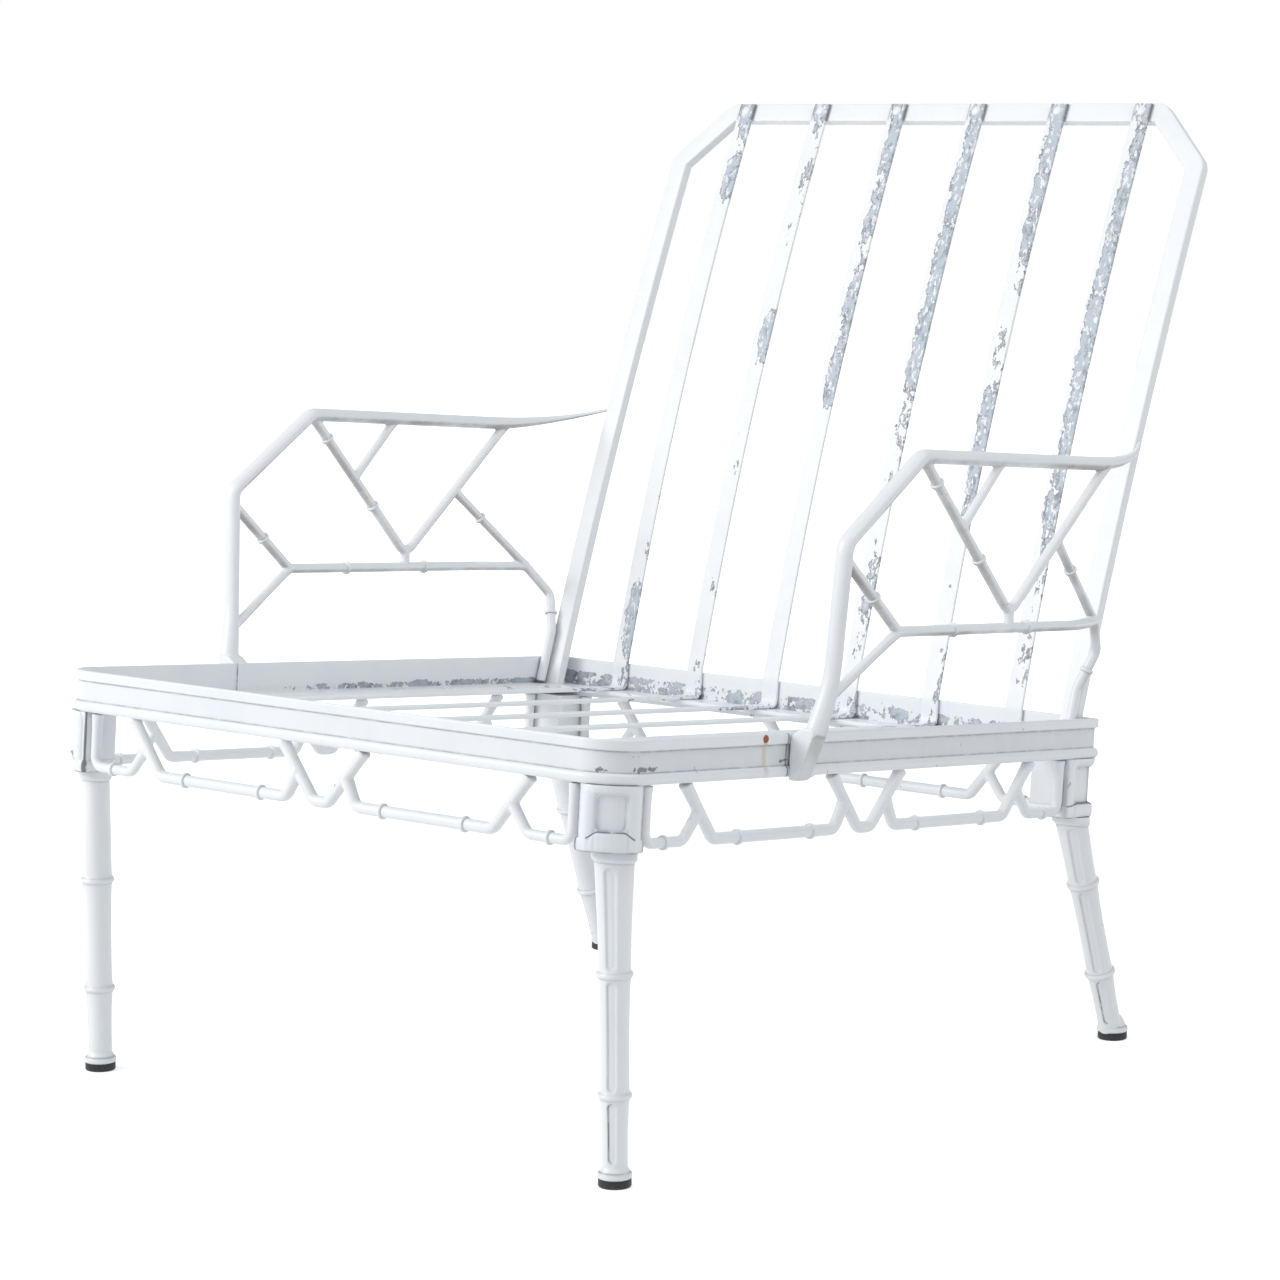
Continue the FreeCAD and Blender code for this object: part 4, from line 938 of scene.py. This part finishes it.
def dome(place, facing, radius, rise, rows=9, sides=40):
    """Low dome about a direction: ring at angle t is place + radius sin(t) outwards + rise cos(t) up."""
    facing = unit(facing)
    side = unit(np.cross(facing, X_WAY if abs(facing[0]) < 0.9 else Y_WAY))
    t = join([[math.pi / 2], np.linspace(math.pi / 2, 0.12, rows)])[:, None, None]
    sink = join([[0.0004], np.zeros(rows)])[:, None, None]
    angle = circle(sides)[None, :, None]
    ring = np.cos(angle) * side + np.sin(angle) * np.cross(facing, side)
    return skin(place + radius * np.sin(t) * ring + (rise * np.cos(t) - sink) * facing)


def screw_place():
    """Middle of the rusted screw on the right rail's top band, near the seam."""
    rails = settings("rails")
    return seat(HALF_WIDTH, rails.seam - 0.032, -rails.band * 0.45)


class CHAIR_OT_fasteners(bpy.types.Operator):
    """Rivets of the slats and the rusted screws of the arms"""

    bl_idname = "chair.fasteners"
    bl_label = "Rivets and screws"

    def execute(self, context):
        back, rails = settings("back", "rails")
        level = back.length - back.bar_width / 2
        top = back_point(level, back.thick + back.frame_gap)
        facing = back_point(level, 1.0) - back_point(level, 0.0)
        bed = seat(0.0, rails.base + back.rivet, back.thick - rails.ledge_drop)
        up = seat(0.0, 0.0, 1.0) - seat(0.0, 0.0, 0.0)
        finish = painted_casting("rivet_paint")
        for name, middle, way in (("back", top, facing), ("seat", bed, up)):
            shells = [dome(middle + X_WAY * slat_x(number), way, back.rivet, back.rivet_rise) for number in SLATS]
            put(f"{name}_rivet_heads", shells, finish, f"{name}_rivets", slot="rivet")
        screw = [dome(screw_place(), X_WAY, back.screw, back.screw_rise)]
        put("arm_screw_heads", screw + mirrored(screw), rusted_steel(), slot="rivet")
        return {"FINISHED"}


class CHAIR_OT_glides(bpy.types.Operator):
    """Black glides under the legs keep their solids and get their finish"""

    bl_idname = "chair.glides"
    bl_label = "Glides"

    def execute(self, context):
        finish = scuffed_glide()
        for name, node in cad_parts.items():
            if name.endswith("_glide"):
                node.data.materials.clear()
                node.data.materials.append(finish)
        return {"FINISHED"}


class Sheet:
    """Node tree of a material or a world, with short calls to add and join nodes."""

    def __init__(self, owner):
        owner.use_nodes = True
        self.owner, self.tree = owner, owner.node_tree
        self.tree.nodes.clear()

    def node(self, kind, inputs=None, **values):
        """One node with its values set and its sockets filled or joined."""
        made = self.tree.nodes.new("ShaderNode" + kind)
        for name, value in values.items():
            setattr(made, name, value)
        for name, value in (inputs or {}).items():
            if isinstance(value, bpy.types.NodeSocket):
                self.tree.links.new(value, made.inputs[name])
            else:
                made.inputs[name].default_value = value
        return made

    def fold(self, operation, total, *others):
        """Math nodes that take in one socket or number after another."""
        for value in others:
            total = self.node("Math", {0: total, 1: value}, operation=operation).outputs[0]
        return total

    plus, less = partialmethod(fold, "ADD"), partialmethod(fold, "SUBTRACT")
    times = partialmethod(fold, "MULTIPLY")
    most, least = partialmethod(fold, "MAXIMUM"), partialmethod(fold, "MINIMUM")

    def away(self, value):
        """Size of a number, without its sign."""
        return self.node("Math", {0: value}, operation="ABSOLUTE").outputs[0]

    def blend(self, factor, first, second):
        """Mix of two colours."""
        sockets = {6: first, 7: second}
        for index, value in sockets.items():
            sockets[index] = value if isinstance(value, bpy.types.NodeSocket) else (*value, 1.0)
        return self.node("Mix", {0: factor, **sockets}, data_type="RGBA").outputs[2]

    def step(self, value, low, high):
        """Smooth step from low to high."""
        return self.node("MapRange", {"Value": value, "From Min": low, "From Max": high},
                         interpolation_type="SMOOTHSTEP").outputs[0]

    def noise(self, where, scale, detail=4.0, rough=0.55):
        """Soft noise about 0.5."""
        return self.node("TexNoise", {"Vector": where, "Scale": scale, "Detail": detail,
                                      "Roughness": rough}).outputs["Fac"]

    def coordinates(self, kind="Object"):
        """Place or, on request, normal in the object's own frame."""
        return self.node("TexCoord").outputs[kind]

    def layer(self, name, kind="Fac"):
        """Values that the mesh carries."""
        return self.node("Attribute", attribute_name=name).outputs[kind]

    def split(self, vector):
        """The three parts of a vector."""
        return self.node("SeparateXYZ", {0: vector}).outputs

    def offset(self, where, place):
        """Vector from a place."""
        return self.node("VectorMath", {0: where, 1: tuple(place)}, operation="SUBTRACT").outputs[0]

    def length(self, vector):
        """Length of a vector."""
        return self.node("VectorMath", {0: vector}, operation="LENGTH").outputs["Value"]

    def stretched(self, where, factors):
        """Coordinates stretched by a factor along each axis."""
        return self.node("Mapping", {"Vector": where, "Scale": factors}, vector_type="POINT").outputs[0]

    def corners(self, distance):
        """Ambient occlusion for painted shade: 1 in the open, towards 0 where surfaces meet."""
        return self.node("AmbientOcclusion", {"Distance": distance}, samples=5).outputs["AO"]

    def finish(self, colour, rough, metal, height, depth):
        """Principled surface with bump."""
        ripple = self.node("Bump", {"Height": height, "Distance": depth, "Strength": 0.6}).outputs[0]
        shader = self.node("BsdfPrincipled", {"Base Color": colour, "Roughness": rough, "Metallic": metal,
                                              "Normal": ripple})
        self.node("OutputMaterial", {0: shader.outputs[0]})
        return self.owner


def new_sheet(name):
    """Sheet of a new material, its colours and its coordinates."""
    sheet = Sheet(bpy.data.materials.new(name))
    return sheet, settings("paint"), sheet.coordinates()


def rust_streak(sheet, where):
    """Stain below the screw: falls off across the streak and fades on its way down."""
    x, y, z = sheet.split(sheet.offset(where, screw_place()))
    wander = sheet.times(sheet.less(sheet.noise(where, 220.0), 0.5), 0.0022)
    across = sheet.step(sheet.plus(sheet.away(y), wander), 0.0042, 0.0012)
    down = sheet.times(sheet.step(z, 0.001, -0.002), sheet.step(z, -0.036, -0.024))
    return sheet.times(across, down, sheet.step(sheet.away(x), 0.012, 0.006))


def weathered(sheet, where, chip_level):
    """Peel mask with a few chips, and its dark outline: wear less a mixed noise, cut at nearby levels."""
    coarse = sheet.times(sheet.noise(where, 42.0, 5.0, 0.62), 0.62)
    fine = sheet.times(sheet.noise(where, 230.0, 4.0, 0.62), 0.38)
    edge = sheet.less(sheet.layer("wear"), sheet.plus(coarse, fine))
    # Dark rim round each peeled place: the painted shadow of the lifted paint's edge.
    outline = sheet.times(sheet.step(edge, -0.020, -0.002), sheet.step(edge, 0.030, 0.004))
    chips = sheet.times(sheet.step(sheet.noise(where, 130.0, 3.0), chip_level, chip_level + 0.012),
                        sheet.step(sheet.noise(where, 11.0, 2.0), 0.56, 0.60))
    return sheet.most(sheet.step(edge, -0.003, 0.006), chips), outline


def spot(sheet, where, place, radius):
    """Ragged flat spot: distance from a place, stretched in height and shifted by noise, against a radius."""
    apart = sheet.length(sheet.stretched(sheet.offset(where, place), (0.45, 0.45, 1.9)))
    ragged = sheet.times(sheet.less(sheet.noise(where, 260.0, 4.0, 0.65), 0.5), radius * 4.5)
    return sheet.step(sheet.plus(apart, ragged), radius, radius * 0.75)


def rail_chips():
    """Places and radii of the chips along the front rail's bead, at its right corner and its seam."""
    rails = settings("rails")
    level, outer = -rails.height + rails.bead * 1.25, HALF_WIDTH - rails.panel
    return [(seat(HALF_WIDTH - 0.0236, 0.0065, level), 0.0036), (seat(outer, 0.0376, level + 0.0005), 0.0040),
            (seat(outer, 0.0480, level + 0.0005), 0.0032), (seat(outer, 0.0290, -0.014), 0.0013),
            (seat(outer, rails.seam - 0.005, level + 0.002), 0.0022)]


def painted_casting(name, rails=False, shaded_and_soiled_below=False):
    """White paint on cast aluminium: chalky patches, soiling with painted shade in corners and crevices, chips and
    peeled places.
    """
    sheet, paint, where = new_sheet(name)
    crease, normal = sheet.layer("crease"), sheet.split(sheet.coordinates("Normal"))
    peel, outline = weathered(sheet, where, 0.715)
    patches = sheet.step(sheet.noise(where, 9.0, 3.0), 0.42, 0.72)
    flow = sheet.noise(sheet.stretched(where, (60.0, 60.0, 9.0)), 1.0, 3.0)
    colour = sheet.blend(sheet.times(patches, flow, 0.5), paint.white, paint.chalk)
    settled = sheet.step(sheet.noise(where, 85.0, 3.0), 0.28, 0.60)
    # Painted shade in corners from ambient occlusion, patchy by noise as soiling.
    soiling_and_shade = sheet.times(sheet.step(sheet.corners(0.007), 0.60, 0.10), settled, 0.45)
    # Painted shade along the mesh's shade lines (shadow gaps and crevices), deepened in places as soiling.
    deep = sheet.times(crease, crease, crease, crease, settled, 0.5)
    line = sheet.least(sheet.plus(sheet.times(crease, 0.28), deep), 1.0)
    colour = sheet.blend(sheet.most(soiling_and_shade, line), colour, paint.soiling_and_shade_tone)
    if shaded_and_soiled_below:
        # Painted shade with grey-brown soiling on surfaces that face down.
        underside_shade_and_soiling = sheet.times(sheet.step(normal[2], 0.10, -0.60), sheet.step(sheet.noise(where, 20.0), 0.15, 0.75))
        colour = sheet.blend(underside_shade_and_soiling, colour, paint.underside_shade_and_soiling)
    stained = sheet.times(sheet.step(sheet.noise(where, 95.0), 0.45, 0.72), 0.7)
    colour = sheet.blend(peel, colour, sheet.blend(stained, paint.metal, paint.dark_metal))
    # Painted shadow of lifted paint round the peeled places.
    colour = sheet.blend(sheet.times(outline, 0.55), colour, paint.dark_metal)
    if rails:
        outside = sheet.step(sheet.less(normal[0], normal[1]), 0.0, 0.15)
        for place, radius in rail_chips():
            chip = sheet.times(spot(sheet, where, place, radius), outside, 0.85)
            colour = sheet.blend(chip, colour, paint.dark_metal)
        colour = sheet.blend(sheet.times(rust_streak(sheet, where), outside, 0.5), colour, paint.stain)
    orange_peel = sheet.times(sheet.noise(where, 420.0, 2.0), 0.22)
    lumps = sheet.times(sheet.noise(where, 38.0, 2.0), 0.65)
    height = sheet.plus(orange_peel, lumps, sheet.times(sheet.less(1.0, peel), 0.45))
    rough = sheet.plus(sheet.times(sheet.noise(where, 60.0), 0.22), sheet.times(peel, 0.12), 0.24)
    return sheet.finish(colour, rough, sheet.times(peel, 0.3), height, 0.0006)


def peeling_slat():
    """Slat paint that flakes off in stripes along the bar and shows grey aluminium."""
    sheet, paint, where = new_sheet("slat_paint")
    grain = sheet.layer("grain", "Vector")
    stripes = sheet.stretched(grain, (1.0, 0.55, 1.0))
    peel, outline = weathered(sheet, stripes, 0.72)
    flakes = sheet.step(sheet.noise(stripes, 280.0), 0.55, 0.58)
    peel = sheet.times(peel, sheet.less(1.0, sheet.times(flakes, 0.85)))
    faded = sheet.times(sheet.step(sheet.noise(where, 14.0, 3.0), 0.40, 0.75), 0.35)
    colour = sheet.blend(faded, paint.white, paint.chalk)
    # Painted shade in corners from ambient occlusion.
    colour = sheet.blend(sheet.times(sheet.step(sheet.corners(0.008), 0.55, 0.1), 0.6), colour, paint.soiling_and_shade_tone)
    brushed = sheet.noise(sheet.stretched(grain, (900.0, 30.0, 900.0)), 1.0, 3.0)
    stained = sheet.times(sheet.step(sheet.noise(stripes, 150.0, 5.0, 0.65), 0.48, 0.66), 0.62)
    bare = sheet.blend(stained, paint.metal, paint.dark_metal)
    bare = sheet.blend(sheet.times(brushed, 0.15), bare, paint.chalk)
    colour = sheet.blend(peel, colour, bare)
    # Painted shadow under the lifted paint's edges, and the painted shadow outline of the slat's end on the bar.
    dark = sheet.most(sheet.times(outline, 0.75), sheet.times(sheet.layer("crease"), 0.8))
    colour = sheet.blend(dark, colour, paint.dark_metal)
    coat = sheet.times(sheet.less(1.0, peel), 0.8)
    height = sheet.plus(coat, sheet.times(sheet.noise(where, 300.0, 2.0), 0.25))
    rough = sheet.plus(sheet.times(sheet.noise(where, 80.0), 0.2), sheet.times(peel, 0.2), 0.3)
    return sheet.finish(colour, rough, sheet.times(peel, 0.12), height, 0.0007)


def rusted_steel():
    """Rust in two tones with a pitted surface."""
    sheet, paint, where = new_sheet("screw_rust")
    mottled = sheet.step(sheet.noise(where, 700.0), 0.35, 0.7)
    colour = sheet.blend(sheet.times(mottled, 0.6), paint.rust, paint.dark_metal)
    rough = sheet.plus(sheet.times(mottled, 0.2), 0.65)
    return sheet.finish(colour, rough, 0.0, sheet.noise(where, 900.0, 3.0), 0.0004)


def scuffed_glide():
    """Black plastic with pale scuffs towards its lower rim."""
    sheet, paint, where = new_sheet("glide_plastic")
    low = sheet.step(sheet.split(where)[2], 0.006, 0.0)
    scuffs = sheet.times(sheet.step(sheet.noise(where, 500.0), 0.5, 0.75), low)
    colour = sheet.blend(sheet.times(scuffs, 0.6), paint.glide, paint.soiling_and_shade_tone)
    rough = sheet.plus(sheet.times(scuffs, 0.2), 0.5)
    return sheet.finish(colour, rough, 0.0, sheet.noise(where, 800.0, 2.0), 0.0003)


class CHAIR_OT_stage(bpy.types.Operator):
    """Pale floor, soft lights and the camera at the photograph's angle"""

    bl_idname = "chair.stage"
    bl_label = "Studio"

    def paper(self, stage):
        """Square floor. The camera sees its glow grow with the distance from the chair, up to white."""
        half, dim = 9.0, 0.48
        mesh = bpy.data.meshes.new("studio_floor")
        corners = [(-half, -half, 0.0), (half, -half, 0.0), (half, half, 0.0), (-half, half, 0.0)]
        mesh.from_pydata(corners, [], [(0, 1, 2, 3)])
        sheet, _, where = new_sheet("floor_paper")
        clouds = sheet.times(sheet.noise(where, 3.0, 2.0), 0.03)
        surface = sheet.node("BsdfDiffuse", {"Color": sheet.blend(clouds, stage.floor, stage.floor_grain)})
        glow = sheet.plus(sheet.times(sheet.step(sheet.length(where), 0.9, 2.4), 1.0 - dim), dim)
        ray = sheet.node("LightPath").outputs
        seen = sheet.most(ray["Is Camera Ray"], ray["Is Glossy Ray"])
        light = sheet.node("Emission", {"Strength": sheet.times(seen, glow)})
        both = sheet.node("AddShader", {0: surface.outputs[0], 1: light.outputs[0]})
        sheet.node("OutputMaterial", {0: both.outputs[0]})
        mesh.materials.append(sheet.owner)
        placed("studio_floor", mesh)

    def sky(self, stage):
        """Even light all round, which the camera sees as white."""
        sheet = Sheet(bpy.data.worlds.new("studio"))
        even = sheet.node("Background", {"Color": (*stage.sky_tone, 1.0), "Strength": stage.sky})
        white = sheet.node("Background", {"Color": (1.0, 1.0, 1.0, 1.0)})
        seen = sheet.node("LightPath").outputs["Is Camera Ray"]
        both = sheet.node("MixShader", {0: seen, 1: even.outputs[0], 2: white.outputs[0]})
        sheet.node("OutputWorld", {0: both.outputs[0]})
        bpy.context.scene.world = sheet.owner

    def lamp(self, name, place, power, wide):
        """Square soft light that faces the middle of the chair."""
        light = bpy.data.lights.new(name, "AREA")
        light.energy, light.size = power, wide
        lamp = placed(name, light)
        lamp.location = place
        lamp.rotation_euler = (Vector((0.0, 0.0, 0.45)) - lamp.location).to_track_quat("-Z", "Y").to_euler()

    def execute(self, context):
        stage = settings("stage")
        self.paper(stage)
        self.sky(stage)
        self.lamp("key", (-2.3, -3.45, 2.4), stage.key, 2.6)
        self.lamp("fill", (1.6, 0.1, 2.6), stage.fill, 1.8)
        lens = bpy.data.cameras.new("camera")
        lens.lens, lens.sensor_width = stage.lens, 36.0
        camera = placed("camera", lens)
        turned, down = stage.azimuth, stage.pitch
        back = np.array([math.sin(turned) * math.cos(down), -math.cos(turned) * math.cos(down), math.sin(down)])
        target = np.array([stage.target_x, seat(0.0, 0.0, 0.0)[1] + stage.target_y, stage.target_z])
        camera.location = target + back * stage.distance
        camera.rotation_euler = (math.pi / 2 - down, 0.0, turned)
        context.scene.camera = camera
        context.scene.view_settings.view_transform = "Standard"
        return {"FINISHED"}


class CHAIR_PT_panel(bpy.types.Panel):
    """Sizes, colours and steps of the lounge chair"""

    bl_idname = "CHAIR_PT_panel"
    bl_label = "Lounge chair"
    bl_space_type = "VIEW_3D"
    bl_region_type = "UI"
    bl_category = "Lounge chair"

    def draw(self, context):
        for operator in OPERATORS:
            self.layout.operator(operator.bl_idname)
        for name, group in GROUPS.items():
            box = self.layout.box()
            box.label(text=group.__doc__)
            for field in group.__annotations__:
                box.prop(getattr(context.scene, name), field)


OPERATORS = (CHAIR_OT_rails, CHAIR_OT_blocks, CHAIR_OT_legs, CHAIR_OT_aprons, CHAIR_OT_arms, CHAIR_OT_back_frame,
             CHAIR_OT_slats, CHAIR_OT_fasteners, CHAIR_OT_glides, CHAIR_OT_stage)


def register():
    for group in (*GROUPS.values(), *OPERATORS, CHAIR_PT_panel):
        bpy.utils.register_class(group)
    for name, group in GROUPS.items():
        setattr(bpy.types.Scene, name, bpy.props.PointerProperty(type=group))


def unregister():
    for name in GROUPS:
        delattr(bpy.types.Scene, name)
    for group in (CHAIR_PT_panel, *reversed(OPERATORS), *GROUPS.values()):
        bpy.utils.unregister_class(group)


def main():
    """Register the chair and build every piece."""
    register()
    bpy.ops.chair.rails()
    bpy.ops.chair.blocks()
    bpy.ops.chair.legs()
    bpy.ops.chair.aprons()
    bpy.ops.chair.arms()
    bpy.ops.chair.back_frame()
    bpy.ops.chair.slats()
    bpy.ops.chair.fasteners()
    bpy.ops.chair.glides()
    bpy.ops.chair.stage()


if __name__ == "__main__":
    main()
